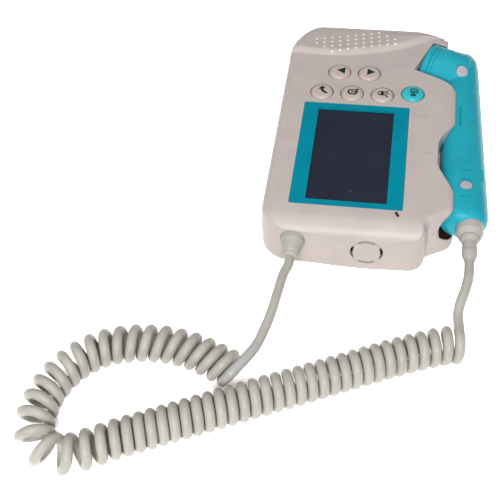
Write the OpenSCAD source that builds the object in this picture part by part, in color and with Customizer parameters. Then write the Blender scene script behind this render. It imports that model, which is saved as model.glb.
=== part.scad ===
// Handheld fetal doppler: flat main unit with a colour display, round keys and a speaker under the
// raised end, and a corded probe that lies in a bay along its right side. The unit lies on its back.
// Origin: on the flat back, under the centre of the display bezel. +X right, +Y to the speaker, +Z up.

/* [Case] */
// Width of the case without the probe
case_w = 88; // [84:1:94]
// Length of the case, cord end to speaker end
case_l = 148; // [144:1:158]
// Thickness of the case at the flat face
case_h = 28; // [27:0.5:31]
// Wall thickness of both shells
wall = 2.4; // [2:0.1:2.8]
// Corner radius at the cord end, left
foot_corner_r = 13; // [10:1:15]
// Corner radius at the speaker end, left
head_corner_r = 26; // [20:1:30]
// Radius of the roll-over from the face down to the cord end
roll_r = 10; // [7:0.5:11]
// Radius of the long edges of the face
edge_r = 3.6; // [2.5:0.1:4.2]
// Radius of the edges of the back
back_r = 4.4; // [3:0.1:5]
// Height of the raised speaker end above the face
dome_rise = 2; // [1:0.25:3]

/* [Display] */
// Width of the bezel
bezel_w = 51.3; // [48:0.1:53]
// Length of the bezel
bezel_l = 67.8; // [64:0.1:69]
// Width of the window opening
window_w = 36.8; // [34:0.1:40]
// Length of the window opening
window_l = 61; // [56:0.1:63]
// Depth of the bezel's pocket in the face
bezel_t = 1.4; // [1:0.1:1.6]

/* [Keys] */
// Diameter of a key cap
key_d = 11.1; // [10:0.1:11.6]
// Distance between neighbouring keys
key_pitch = 15; // [14.4:0.1:16]
// Travel of a key
key_travel = 0.8; // [0.5:0.1:0.9]
// Gap between a key cap and its hole
key_gap = 0.35; // [0.25:0.05:0.5]

/* [Speaker] */
// Diameter of the speaker
speaker_d = 26; // [24:0.5:27]
// Diameter of a grille hole
grille_hole_d = 1.8; // [1.2:0.1:2]
// Distance between grille columns
grille_pitch = 4; // [3.6:0.1:4.2]
// Distance between grille rows
grille_row = 3.7; // [3.4:0.1:4]

/* [Probe] */
// Diameter of the transducer head
head_d = 25.6; // [24:0.2:26.4]
// Angle of the head's axis from the case's width
head_tilt = 22.6; // [21:0.2:24]
// Thickness of the probe's handle
handle_t = 17.6; // [16.6:0.2:18]
// Width of the handle at its cord end
handle_w = 22; // [20:0.2:23]
// Width of the handle where it meets the head
handle_neck_w = 17; // [16:0.2:18]
// Wall thickness of the probe
probe_wall = 2; // [1.6:0.1:2.2]
// Gap between the probe and its bay
bay_gap = 0.3; // [0.2:0.05:0.4]
// Diameter of a screw cap on the probe
cap_d = 6; // [5:0.2:6.4]

/* [Cord] */
// Diameter of the cord
cord_d = 4.2; // [4:0.1:4.2]
// Outer diameter of the coil
coil_d = 16.6; // [15.6:0.2:17]
// Facets round the coiled cord
coil_sides = 6; // [6:1:6]
// Rings to each turn of the coil
coil_rings = 8; // [8:1:8]
// Facets round the straight cord
lead_sides = 8; // [8:1:10]

/* [Battery] */
// Width of the battery door
door_w = 54; // [50:1:56]
// Thickness of the battery door
door_t = 1.8; // [1.6:0.1:2]
// Thickness of the battery pack
pack_t = 10; // [8:0.5:10.5]

/* [Hidden] */

// Overrun of every cut past the face it opens
over = 0.5;
// Clearance of parts that lie or slide beside one another
fit = 0.1;
// Gap of parts that are held without touching
seat = 0.2;
// Largest angle between two points of an arc
arc_step = 12;

// Case outline, seen from above
left_share = 0.436;
foot_share = 0.33;
x_left = -left_share * case_w;
x_right = x_left + case_w;
y_foot = -foot_share * case_l;
y_head = y_foot + case_l;
z_split = 18 / 28 * case_h;
foot_sag = 2.4;
foot_sag_x = 8;
deck_step_x = x_right - 12.6;
shoulder_y = y_foot + 11.4;
shoulder_rise = 5;
head_sag = 5.6;
crown_x = 10;
crown_rise = 2;
crown_r = 60;
horn_drop = 12;
deck_corner_r = 7;
step_corner_r = 3;
shoulder_corner_r = 6;
horn_corner_r = 9;
foot_bulge_r = 90;
case_corners = [
    [x_left, y_foot + foot_sag, foot_corner_r],
    [foot_sag_x, y_foot, foot_bulge_r],
    [deck_step_x - over, y_foot + foot_sag / 2, deck_corner_r],
    [deck_step_x + over, shoulder_y - shoulder_rise / 3, step_corner_r],
    [x_right, shoulder_y + shoulder_rise, shoulder_corner_r],
    [x_right, y_head - horn_drop, horn_corner_r],
    [crown_x, y_head + crown_rise, crown_r],
    [x_left, y_head - head_sag, head_corner_r]];

// Window in the front shell that leaves the probe in view
waist_x = x_right - 9.4;
lip_x = x_right - 1.3;
lip_foot_x = x_right - 0.8;
lip_top_y = 52.6;
lip_neck_y = 25.5;
waist_top_y = 13;
waist_foot_y = -4;
lip_low_y = -21.5;
lip_r = 6;
waist_r = 14;
lip_top_r = 14;

// Probe head, along its own axis: s runs from the transducer's face into the head
head_r = head_d / 2;
head_wall_s = -1;
head_channel_r = head_r + bay_gap;
head_face_x = x_right - 16.45;
head_face_y = y_head - 23.2;
head_dir = [cos(head_tilt), -sin(head_tilt)];
head_side = [sin(head_tilt), cos(head_tilt)];
z_probe = z_split + 0.3;
cap_l = 3.5;
ring_l = 2.5;
head_l = 17;
head_round = 5;
horn_lip = 9.7;
lip_low_n = -14.6;

// Probe handle
handle_r = handle_t / 2;
groove_r = handle_r + bay_gap;
handle_left = x_right - 7.3;
groove_x = handle_left + handle_r;
handle_foot = y_foot + 15.8;
handle_top = head_face_y + 4.5;
handle_wide_y = handle_foot + 10;
handle_end_r = 5;
grow_from_y = 54;
grow_to_y = 76;
grown_t = 22;
section_power = 2.2;
section_points = 28;
handle_stations = 20;
boot_x = handle_left + 13.9;

// Levels of the stack under the display
z_face = case_h;
z_ceiling = case_h - wall;
z_board = z_split - 0.4;
board_t = 1.6;
z_board_top = z_board + board_t;
z_door = door_t + seat;
z_tray = z_door + pack_t + 0.6;
tray_wall = 1.5;
tray_top_y = 26;
tray_foot_y = y_foot + 9;
door_top_y = 28;
door_rail = 1.4;
door_tongue = 0.8;
tray_w = door_w - 2 * door_rail;

// Keys
key_r = key_d / 2;
key_hole_r = key_r + key_gap;
flange_r = key_hole_r + 0.8;
flange_t = 1;
flange_gap = 0.25;
z_flange = z_ceiling - flange_gap - flange_t;
key_crown = 1.2;
key_round = 1.9;
key_row_y = 41.8;
key_row_x = -18.1;
arrow_row_y = 57.4;
arrow_row_x = -10.6;
power_x = 26.8;
power_y = 44.1;
KEY_PLACES = [
    [arrow_row_x, arrow_row_y],
    [arrow_row_x + key_pitch, arrow_row_y],
    [key_row_x, key_row_y],
    [key_row_x + key_pitch, key_row_y],
    [key_row_x + 2 * key_pitch, key_row_y],
    [power_x, power_y]];

// Speaker and its grille
speaker_x = -4;
speaker_y = y_head - 18.4;
speaker_t = 5.5;
grille_x = -24.8;
grille_y = y_head - 17.8;
grille_rise = 1;
grille_lean = 0.3;
GRILLE_FIRST = [0, 0, 0, 0, 0, 0, 0, 0, 0, 1, 2];
GRILLE_LAST = [1, 2, 3, 3, 3, 3, 3, 3, 3, 3, 3];
grille_rim = 2.2;
grille_skin = 0.9;
cloth_t = 0.4;
pin_hole_x = 3.1;
pin_hole_y = y_head - 6;
pin_hole_r = 0.5;
dome_x = -20;
dome_foot_y = 69;
dome_r = 100;
dome_step = 4.5;
dome_fall = tan(4.4);

// Fasteners
post_r = 3;
screw_r = 1.1;
screw_head_r = 2.4;
screw_head_t = 1.6;
thread_gap = 0.02;
CASE_POSTS = [[x_left + 5.4, y_foot + 12.6], [deck_step_x - 4.6, y_foot + 12.6],
    [x_left + 7.2, 62], [18, 63.4]];
standoff_r = 2.4;
BOARD_POSTS = [[-26.4, -28], [26.4, -28], [-26.4, 22], [26.4, 22]];

// Foot wall fittings
plug_x = 11.2;
plug_z = 14.5 / 28 * case_h;
plug_r = 7.3;
gland_x = -22.3;
gland_r = 5.5;
gland_tip_r = 3.2;
gland_l = 9;
gland_tip_y = y_foot - gland_l;
gland_flange_r = gland_r + 1.6;
gland_flange_t = 1.6;
y_gland = y_foot + 2.6 * wall;
z_gland = z_split;

// Probe's cord end
collar_r = 6.2;
collar_out = 3;
boot_r = 4.3;
boot_tip_r = 3.1;
boot_l = 13;
boot_y0 = handle_foot - collar_out - 3;
boot_tip_y = boot_y0 - boot_l;

// Probe screws, along the handle
PROBE_SCREWS = [[handle_left + 8.2, 63], [handle_left + 11.2, -13.8]];

// Unit vector
function unit(v) = v / norm(v);

// Points of an arc about c, from angle a to angle b
function arc_points(c, r, a, b, n) = [for (i = [0:n]) c + r * [cos(a + (b - a) * i / n), sin(a + (b - a) * i / n)]];

// Shorter turn from angle a to angle b
function turn(a, b) = let (d = b - a) d > 180 ? d - 360 : d < -180 ? d + 360 : d;

// Arc that rounds the corner at p between its neighbours
function corner_arc(p, before, after, r) =
    let (
        u = unit(before - p),
        v = unit(after - p),
        half = acos(u * v) / 2,
        c = p + unit(u + v) * r / sin(half),
        a0 = p + u * r / tan(half) - c,
        b0 = p + v * r / tan(half) - c,
        a = atan2(a0[1], a0[0]),
        sweep = turn(a, atan2(b0[1], b0[0])))
    arc_points(c, r, a, a + sweep, max(1, ceil(abs(sweep) / arc_step)));

// Closed outline with each corner [x, y, r] rounded by its own radius
function rounded(corners) =
    let (n = len(corners))
    [for (i = [0:n - 1])
        let (p = corners[i], q = corners[(i + n - 1) % n], s = corners[(i + 1) % n])
        each p[2] > 0 ? corner_arc([p[0], p[1]], [q[0], q[1]], [s[0], s[1]], p[2]) : [[p[0], p[1]]]];

// Inward normal of a counter-clockwise outline at point i
function inward(outline, i) =
    let (
        n = len(outline),
        a = unit(outline[i] - outline[(i + n - 1) % n]),
        b = unit(outline[(i + 1) % n] - outline[i]),
        t = unit(a + b))
    [-t[1], t[0]] / max(0.5, t * a);

// Levels [inset, z] of a quarter-round edge that ends at inset first + r and height z
function edge_levels(first, r, z, n) = [for (i = [0:n]) [first + r * (1 - cos(90 * i / n)), z - r + r * sin(90 * i / n)]];

// Solid that follows an outline through levels [inset, z], bottom to top
module stack(outline, levels) {
    n = len(outline);
    m = len(levels);
    points = [for (l = levels) for (i = [0:n - 1])
        let (p = outline[i] + inward(outline, i) * l[0]) [p[0], p[1], l[1]]];
    sides = [for (j = [0:m - 2]) for (i = [0:n - 1])
        let (a = j * n + i, b = j * n + (i + 1) % n) each [[a, a + n, b + n], [a, b + n, b]]];
    polyhedron(points, concat([[for (i = [0:n - 1]) i]], sides, [[for (i = [n - 1:-1:0]) (m - 1) * n + i]]));
}

// Profile in Y and Z, drawn out across the whole width
module across(profile) {
    translate([x_left - 2, 0, 0])
        rotate([90, 0, 90])
            linear_extrude(case_w + 4)
                polygon(profile);
}

// Cylinder along Y that starts at y and runs toward -Y
module toward_foot(x, y, z, r, l) {
    translate([x, y, z])
        rotate([90, 0, 0])
            cylinder(h = l, r = r, $fn = 48);
}

// Turned shape about an axis along -Y, from the plane y on: profile is [radius, distance]
module turned_foot(x, y, z, profile) {
    translate([x, y, z])
        rotate([90, 0, 0])
            rotate_extrude($fn = 48)
                polygon(profile);
}

// Place along the probe head's axis, local Z running into the head
module on_head(s) {
    translate([head_face_x + head_dir[0] * s, head_face_y + head_dir[1] * s, z_probe])
        rotate([0, 90, -head_tilt])
            children();
}

// Point of the plan at s along the head's axis and n beside it
function head_point(s, n) = [head_face_x, head_face_y] + head_dir * s + head_side * n;

// Case
case_outline = rounded(case_corners);
foot_profile_arc = arc_points([y_foot + roll_r, z_face - roll_r], roll_r, 180, 90, 7);
head_end_r = 10;
head_profile_arc = arc_points([y_head - head_end_r, z_face - head_end_r], head_end_r, 90, 0, 6);
dome_profile_arc = arc_points([y_head - head_end_r - 0.4, z_face - head_end_r + 0.4], head_end_r + 0.4, 90, 0, 6);

// Surface of revolution that shapes the raised speaker end, as [radius, z]
dome_line = concat(
    [for (i = [0:6]) let (t = i / 6) [dome_r - dome_step * t, z_face + (dome_rise + over) * t * t * (3 - 2 * t) - over]],
    [[dome_r * 0.5, z_face + dome_rise - dome_fall * (dome_r * 0.5 - dome_step)]]);
dome_profile = concat([[dome_r * 0.5, z_ceiling], [dome_r + over, z_ceiling], [dome_r + over, z_face - over]], dome_line);

module front_solid() {
    intersection() {
        stack(case_outline, concat([[0, z_split], [0.5, z_face - edge_r]], edge_levels(0.5, edge_r, z_face, 4)));
        across(concat([[y_foot, z_split - over]], foot_profile_arc, head_profile_arc, [[y_head, z_split - over]]));
    }
    intersection() {
        stack(case_outline, concat([[0.5, z_ceiling - over]], edge_levels(0.5, edge_r + dome_rise / 2, z_face + dome_rise, 4)));
        translate([dome_x, dome_foot_y + dome_r, 0])
            rotate_extrude(angle = 90, start = 225, $fn = 240)
                polygon(dome_profile);
        across(concat([[dome_foot_y - over, z_split - over], [dome_foot_y - over, z_face + 2 * dome_rise],
            [y_head - head_end_r - dome_rise, z_face + 2 * dome_rise]], dome_profile_arc, [[y_head, z_split - over]]));
    }
}

module rear_solid() {
    stack(case_outline, concat([for (i = [0:4]) [back_r * (1 - sin(90 * i / 4)), back_r * (1 - cos(90 * i / 4))]],
        [[0, z_split]]));
}

// Hollow of the case, from z0 to z1
module case_hollow(z0, z1) {
    a = head_point(head_wall_s - wall, lip_low_n - wall);
    b = head_point(head_wall_s - wall, horn_lip);
    outline = rounded([
        [x_left + wall, y_foot + foot_sag + wall, foot_corner_r - wall],
        [deck_step_x - wall, y_foot + foot_sag + wall, deck_corner_r - wall],
        [deck_step_x - wall, shoulder_y, step_corner_r],
        [waist_x - wall, shoulder_y + shoulder_rise, step_corner_r],
        [waist_x - wall, lip_top_y + 1, step_corner_r],
        [a[0], a[1], step_corner_r],
        [b[0], b[1], step_corner_r],
        [crown_x, y_head - wall, crown_r / 4],
        [x_left + wall, y_head - head_sag - wall, head_corner_r - wall]]);
    intersection() {
        translate([0, 0, z0])
            linear_extrude(z1 - z0)
                polygon(outline);
        across([[y_foot + wall, z0 - over], [y_foot + wall, z_face - roll_r],
            [y_foot + wall + 0.3 * roll_r, z_ceiling - 0.3 * roll_r], [y_foot + roll_r, z_ceiling],
            [y_foot + roll_r, z1 + over], [y_head, z1 + over], [y_head, z0 - over]]);
    }
}

// Room that the probe's head and handle leave in both shells
module bay_space() {
    on_head(head_wall_s)
        cylinder(h = x_right, r = head_channel_r, $fn = 96);
    toward_foot(groove_x, grow_from_y + 1, z_probe, groove_r, case_l);
    translate([groove_x, grow_from_y, z_probe])
        rotate([-90, 0, 0])
            cylinder(h = (grow_to_y - grow_from_y) / 2, r1 = groove_r, r2 = groove_r + (grown_t - handle_t) / 2, $fn = 48);
}

// Cut through the front shell that shows the probe
module bay_window() {
    a = head_point(head_wall_s, lip_low_n);
    b = head_point(head_wall_s, horn_lip);
    c = head_point(head_wall_s + 7.9, horn_lip);
    far = x_right + 10;
    outline = rounded([
        [lip_foot_x, y_foot - over, 0],
        [far, y_foot - over, 0],
        [far, y_head + 5, 0],
        [c[0], y_head + 5, 0],
        [c[0], c[1], 1],
        [b[0], b[1], 1],
        [a[0], a[1], 1],
        [lip_x, lip_top_y, lip_top_r],
        [lip_x, lip_neck_y, lip_r],
        [waist_x, waist_top_y, waist_r],
        [waist_x, waist_foot_y, waist_r],
        [lip_foot_x, lip_low_y, lip_r]]);
    translate([0, 0, z_probe])
        linear_extrude(case_h)
            polygon(outline);
}

// Bores in the foot wall, shared by both shells
module foot_bores() {
    toward_foot(plug_x, y_foot + 2 * wall, plug_z, plug_r + fit, 4 * wall);
    toward_foot(gland_x, y_foot + 4 * wall, z_gland, gland_r + fit, 6 * wall);
    toward_foot(gland_x, y_gland + gland_flange_t + fit, z_gland, gland_flange_r + fit, gland_flange_t + fit);
}

module rounded_plate(w, l, t, r) {
    linear_extrude(t)
        polygon(rounded([[-w / 2, -l / 2, r], [w / 2, -l / 2, r], [w / 2, l / 2, r], [-w / 2, l / 2, r]]));
}

module front_housing() {
    color([0.74, 0.7, 0.69])
        difference() {
            union() {
                difference() {
                    front_solid();
                    case_hollow(z_split - over, z_ceiling);
                }
                for (p = CASE_POSTS)
                    translate([p[0], p[1], z_split])
                        cylinder(h = z_face - wall / 2 - z_split, r = post_r, $fn = 32);
                speaker_rim();
            }
            bay_space();
            bay_window();
            foot_bores();
            translate([0, 0, z_face - bezel_t])
                rounded_plate(bezel_w + 2 * fit, bezel_l + 2 * fit, bezel_t + over, 1);
            translate([0, 0, z_ceiling - over])
                rounded_plate(window_w + 2 * tray_wall, window_l + 2 * tray_wall, wall, 1);
            for (p = KEY_PLACES)
                translate([p[0], p[1], z_ceiling - over])
                    cylinder(h = wall + 2 * over, r = key_hole_r, $fn = 48);
            grille_holes();
            under_grille(grille_skin, 0, grille_rim);
            translate([pin_hole_x, pin_hole_y, z_ceiling - over])
                cylinder(h = 3 * wall, r = pin_hole_r, $fn = 16);
            indicator_slot(fit, 0);
            label_recess();
            for (p = CASE_POSTS)
                translate([p[0], p[1], z_split - over])
                    cylinder(h = z_ceiling - z_split, r = screw_r + thread_gap, $fn = 24);
        }
}

// Low ring under the ceiling that holds the speaker
module speaker_rim() {
    translate([speaker_x, speaker_y, z_ceiling - 2.5])
        difference() {
            cylinder(h = 2.5 + fit, r = speaker_d / 2 + 1, $fn = 64);
            translate([0, 0, -over])
                cylinder(h = 2.5 + over, r = speaker_d / 2 + fit, $fn = 64);
        }
}

module grille_holes() {
    for (i = [0:len(GRILLE_FIRST) - 1])
        for (k = [GRILLE_FIRST[i]:GRILLE_LAST[i]])
            translate([grille_x + grille_pitch * i + grille_lean * k, grille_y + grille_rise * i - grille_row * k, z_ceiling - over])
                cylinder(h = 3 * wall, r = grille_hole_d / 2, $fn = 16);
}

// Outline round all the grille holes, rim outside them
function grille_zone(rim) =
    let (
        last = len(GRILLE_FIRST) - 1,
        left = grille_x - rim,
        right = grille_x + grille_pitch * last + rim,
        low = grille_y - 3 * grille_row - rim)
    rounded([
        [left, grille_y - GRILLE_LAST[0] * grille_row - rim, rim],
        [grille_x + 2 * grille_pitch - rim, low + 2 * grille_rise, rim],
        [right, low + last * grille_rise, rim],
        [right, grille_y + last * grille_rise - GRILLE_FIRST[last] * grille_row + rim, rim],
        [grille_x + (last - 2) * grille_pitch, grille_y + (last - 2) * grille_rise + rim, rim],
        [left, grille_y + rim, rim]]);

// Layer under the raised end's top, between the depths a and b below it, inside the grille's zone
module under_grille(a, b, rim) {
    intersection() {
        translate([dome_x, dome_foot_y + dome_r, 0])
            rotate_extrude(angle = 90, start = 225, $fn = 240)
                polygon(concat([for (p = dome_line) [p[0], p[1] - a]],
                    [for (i = [len(dome_line) - 1:-1:0]) [dome_line[i][0], b > 0 ? dome_line[i][1] - b : z_ceiling - over]]));
        translate([0, 0, z_ceiling - over])
            linear_extrude(case_h)
                polygon(grille_zone(rim));
    }
}

// Pale cloth glued behind the grille
module grille_cloth() {
    color([0.92, 0.9, 0.86])
        under_grille(grille_skin + fit, grille_skin + fit + cloth_t, grille_rim - fit);
}

// Slanted slot of the indicator beside the bezel's corner
indicator_x = 23.3;
indicator_y = -bezel_l / 2 - 2.1;
indicator_l = 3.2;
indicator_w = 1.2;
indicator_lean = 25;
module indicator_slot(gap, drop) {
    translate([indicator_x, indicator_y, z_ceiling - over])
        rotate([0, 0, indicator_lean])
            translate([-indicator_w / 2 - gap, -indicator_l / 2 - gap, 0])
                cube([indicator_w + 2 * gap, indicator_l + 2 * gap, wall + 2 * over - drop]);
}

// Shallow bare recess to the right of the bezel
label_w = 10.4;
label_l = 27.6;
label_depth = 0.3;
label_x = 32.8;
label_y = 17.6;
module label_recess() {
    translate([label_x, label_y, z_face - label_depth])
        rounded_plate(label_w, label_l, label_depth + over, 0.8);
}

module rear_housing() {
    color([0.82, 0.78, 0.74])
        difference() {
            union() {
                difference() {
                    rear_solid();
                    case_hollow(wall, z_split + over);
                }
                translate([0, (tray_top_y + tray_foot_y) / 2, wall / 2])
                    rounded_plate(tray_w + 2 * tray_wall, tray_top_y - tray_foot_y + 2 * tray_wall, z_tray + tray_wall - wall / 2, 2);
                for (p = CASE_POSTS)
                    translate([p[0], p[1], wall / 2])
                        cylinder(h = z_split - wall / 2, r = post_r, $fn = 32);
                for (p = BOARD_POSTS)
                    translate([p[0], p[1], z_tray])
                        cylinder(h = z_board - z_tray, r = standoff_r, $fn = 24);
            }
            bay_space();
            foot_bores();
            translate([0, (tray_top_y + tray_foot_y) / 2, -over])
                rounded_plate(tray_w, tray_top_y - tray_foot_y, z_tray + over, 1);
            door_shape(fit, over);
            for (p = CASE_POSTS) {
                translate([p[0], p[1], -over])
                    cylinder(h = wall + screw_head_t, r = screw_head_r + fit, $fn = 32);
                translate([p[0], p[1], -over])
                    cylinder(h = z_split + 2 * over, r = screw_r + fit, $fn = 24);
            }
            for (p = BOARD_POSTS)
                translate([p[0], p[1], z_tray + tray_wall])
                    cylinder(h = z_board - z_tray, r = screw_r * 0.8 + thread_gap, $fn = 24);
        }
}

// Door plate with a tongue on each long side that runs under the shell's rails
module door_shape(gap, extra) {
    w = door_w + 2 * gap;
    translate([-w / 2 + door_rail, y_foot - 5, -extra])
        cube([w - 2 * door_rail, door_top_y + gap - y_foot + 5, door_t + gap + extra]);
    translate([-w / 2, y_foot - 5, door_tongue - gap])
        cube([w, door_top_y + gap - y_foot + 5, door_t - door_tongue + 2 * gap]);
}

module battery_door() {
    color([0.8, 0.76, 0.73])
        difference() {
            intersection() {
                rear_solid();
                door_shape(0, 0);
            }
            for (i = [-2:2])
                translate([-7, y_foot + 16 + 2 * i, -over])
                    cube([14, 1, over + 0.5]);
        }
}

module battery_pack() {
    color([0.25, 0.32, 0.45])
        translate([0, (tray_top_y + tray_foot_y) / 2 - 2, z_door])
            rounded_plate(tray_w - 1, tray_top_y - tray_foot_y - 6, pack_t + 0.4, 3);
}

// Two sprung strips between the pack's top end and the tray's end wall
module battery_contacts() {
    color([0.8, 0.68, 0.35])
        for (side = [-1, 1])
            translate([side * 8 - 2, tray_top_y - 1.9, z_door + 2]) {
                translate([0, 1.5, 0])
                    cube([4, 0.4, 6]);
                translate([0, 0, 5.6])
                    cube([4, 1.7, 0.4]);
                cube([4, 0.4, 6]);
            }
}

module display_bezel() {
    color([0, 0.53, 0.61])
        translate([0, 0, z_face - bezel_t])
            difference() {
                rounded_plate(bezel_w, bezel_l, bezel_t - fit, 1);
                translate([0, 0, -over])
                    rounded_plate(window_w, window_l, bezel_t + over, 0.5);
            }
}

module display_window() {
    color([0.16, 0.18, 0.26])
        translate([0, 0, z_ceiling])
            rounded_plate(window_w + 2 * tray_wall - 2 * fit, window_l + 2 * tray_wall - 2 * fit, wall - bezel_t, 1);
}

lcd_w = window_w + 7;
lcd_l = window_l + 5.8;
module lcd_module() {
    color([0.12, 0.13, 0.16])
        translate([0, 0, z_board_top])
            difference() {
                rounded_plate(lcd_w, lcd_l, z_ceiling - z_board_top, 0.8);
                translate([0, 0, z_ceiling - z_board_top - 0.8])
                    rounded_plate(window_w + 1, window_l + 1, 1 + over, 0.4);
            }
}

board_left = -29.4;
board_right = 35.6;
board_foot = -32;
board_top = 50;
board_tab_w = 32;
board_tab_x = -4;
board_tab_top = 66;
module main_board() {
    color([0.1, 0.36, 0.2])
        difference() {
            translate([0, 0, z_board])
                linear_extrude(board_t)
                    polygon([[board_left, board_foot], [board_right, board_foot], [board_right, board_top],
                        [board_tab_x + board_tab_w / 2, board_top], [board_tab_x + board_tab_w / 2, board_tab_top],
                        [board_tab_x - board_tab_w / 2, board_tab_top], [board_tab_x - board_tab_w / 2, board_top],
                        [board_left, board_top]]);
            for (p = BOARD_POSTS)
                translate([p[0], p[1], z_board - over])
                    cylinder(h = board_t + 2 * over, r = screw_r * 0.8 + fit, $fn = 24);
        }
}

module board_screws() {
    color([0.7, 0.7, 0.72])
        for (p = BOARD_POSTS)
            translate([p[0], p[1], 0]) {
                translate([0, 0, z_board_top])
                    cylinder(h = 1.2, r = 1.8, $fn = 24);
                translate([0, 0, z_tray + tray_wall + 0.4])
                    cylinder(h = z_board_top - z_tray - tray_wall, r = screw_r * 0.8, $fn = 24);
            }
}

module speaker() {
    color([0.15, 0.15, 0.16])
        translate([speaker_x, speaker_y, z_ceiling - speaker_t]) {
            translate([0, 0, speaker_t - 1.5])
                cylinder(h = 1.5, r = speaker_d / 2, $fn = 64);
            cylinder(h = speaker_t, r = speaker_d * 0.36, $fn = 48);
            translate([0, 0, 1.5])
                cylinder(h = speaker_t - 2, r1 = speaker_d * 0.3, r2 = speaker_d * 0.47, $fn = 48);
        }
}

membrane_t = 1;
membrane_dome_r = 3.5;
z_dome_top = z_flange - key_travel - 0.05;
module keypad_membrane() {
    color([0.85, 0.85, 0.83]) {
        translate([arrow_row_x + key_pitch / 2, arrow_row_y - 0.4, z_board_top])
            rounded_plate(key_pitch + 12, 15.4, membrane_t, 2);
        translate([(key_row_x + power_x) / 2 + 0.4, key_row_y + 0.6, z_board_top])
            rounded_plate(power_x - key_row_x + 12, 14, membrane_t, 2);
        for (p = KEY_PLACES)
            translate([p[0], p[1], z_board_top])
                cylinder(h = z_dome_top - z_board_top, r = membrane_dome_r, $fn = 32);
    }
}

// Key cap: a disc with a rounded rim and a flange that the face holds in
module key_cap(place, top_color) {
    top = z_face + key_crown;
    color(top_color)
        translate([place[0], place[1], 0])
            rotate_extrude($fn = 64)
                polygon(concat(
                    [[0, z_flange], [flange_r, z_flange], [flange_r, z_flange + flange_t], [key_r, z_flange + flange_t]],
                    arc_points([key_r - key_round, top - 0.15 - key_round], key_round, 0, 80, 5),
                    [[0, top]]));
}

cap_tint = [0.8, 0.76, 0.73];
module key_left() { key_cap(KEY_PLACES[0], cap_tint); }
module key_right() { key_cap(KEY_PLACES[1], cap_tint); }
module key_back() { key_cap(KEY_PLACES[2], cap_tint); }
module key_record() { key_cap(KEY_PLACES[3], cap_tint); }
module key_light() { key_cap(KEY_PLACES[4], cap_tint); }
module key_power() { key_cap(KEY_PLACES[5], [0.2, 0.74, 0.78]); }

module indicator_lens() {
    color([0.2, 0.05, 0.04])
        translate([0, 0, over])
            indicator_slot(0, 3 * over);
}

// Round blanking plug: a disc on four diagonal tabs in front of a dark back plate
module port_plug() {
    color([0.8, 0.76, 0.73]) {
        y = y_foot + 2 * wall - 0.6;
        toward_foot(plug_x, y, plug_z, plug_r, 1);
        toward_foot(plug_x, y, plug_z, plug_r - 1.1, 2 * wall - 0.8);
        for (a = [45:90:315])
            intersection() {
                toward_foot(plug_x, y, plug_z, plug_r, 2 * wall - 0.8);
                translate([plug_x, y, plug_z])
                    rotate([90, a, 0])
                        translate([-1.6, 0, 0])
                            cube([3.2, plug_r + 1, 2 * wall]);
            }
    }
}

// Strain relief clamped in the foot wall, with its collar inside
module cord_gland() {
    mouth = y_gland - y_foot;
    color([0.74, 0.72, 0.7])
        turned_foot(gland_x, y_gland, z_gland, [[0, -gland_flange_t], [gland_flange_r, -gland_flange_t], [gland_flange_r, 0],
            [gland_r, 0], [gland_r, mouth + 0.6], [gland_r - 0.6, mouth + 2], [gland_tip_r + 0.6, mouth + gland_l - 2.6],
            [gland_tip_r, mouth + gland_l - 1.6], [gland_tip_r + 0.25, mouth + gland_l - 1.2],
            [gland_tip_r + 0.1, mouth + gland_l - 0.5], [cord_d / 2 + 0.2, mouth + gland_l], [0, mouth + gland_l]]);
}

module case_screws() {
    color([0.7, 0.7, 0.72])
        for (p = CASE_POSTS)
            translate([p[0], p[1], wall + screw_head_t - over - screw_head_t]) {
                cylinder(h = screw_head_t, r = screw_head_r, $fn = 32);
                cylinder(h = z_ceiling - wall - 3.5, r = screw_r, $fn = 24);
            }
}

// Probe: half thickness, left and right edge of the handle at y
function smooth(t) = let (c = min(1, max(0, t))) c * c * (3 - 2 * c);
function handle_half(y) = handle_r + (grown_t / 2 - handle_r) * smooth((y - grow_from_y) / (grow_to_y - grow_from_y));
function handle_right(y) =
    let (t = (y - handle_wide_y) / (handle_top - handle_wide_y))
    handle_left + (t < 0 ? handle_w : handle_w + (handle_neck_w - handle_w) * t);

// Distance that a rounded end of radius r has drawn in, at d from the end
function end_inset(d, r) = d > r ? 0 : r - sqrt(max(0, r * r - (r - d) * (r - d)));

// Place of station i along the handle: close together at both rounded ends
function station_y(i, n) = let (t = i / n) handle_foot + (handle_top - handle_foot) * (t - 0.13 * sin(360 * t));

// Handle as a loft of rounded sections, drawn in by skin on every side
module handle_loft(skin) {
    n = handle_stations;
    m = section_points;
    points = [for (i = [0:n])
        let (
            y0 = station_y(i, n),
            y = min(handle_top - skin, max(handle_foot + skin, y0)),
            drawn = end_inset(y - handle_foot - skin, handle_end_r) + end_inset(handle_top - skin - y, handle_end_r + 2),
            left = handle_left + skin + drawn,
            right = handle_right(y) - skin - drawn,
            high = handle_half(y) - skin - drawn * 0.8)
        for (k = [0:m - 1])
            let (
                a = 360 * k / m,
                e = 2 / section_power,
                u = sign(cos(a)) * pow(abs(cos(a)), e),
                v = sign(sin(a)) * pow(abs(sin(a)), e))
            [(left + right) / 2 + u * (right - left) / 2, y, z_probe + v * high]];
    sides = [for (i = [0:n - 1]) for (k = [0:m - 1])
        let (a = i * m + k, b = i * m + (k + 1) % m) each [[a, b, b + m], [a, b + m, a + m]]];
    polyhedron(points, concat([[for (k = [m - 1:-1:0]) k]], sides, [[for (k = [0:m - 1]) n * m + k]]));
}

// Head barrel behind the transducer's ring, drawn in by skin
module head_barrel(skin) {
    r = head_r - skin;
    on_head(0)
        rotate_extrude($fn = 96)
            polygon(concat([[0, cap_l + ring_l - (skin > 0 ? over : 0)], [r, cap_l + ring_l - (skin > 0 ? over : 0)]],
                arc_points([r - head_round, cap_l + ring_l + head_l - head_round - skin], head_round, 0, 90, 6),
                [[0, cap_l + ring_l + head_l - skin]]));
}

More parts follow.
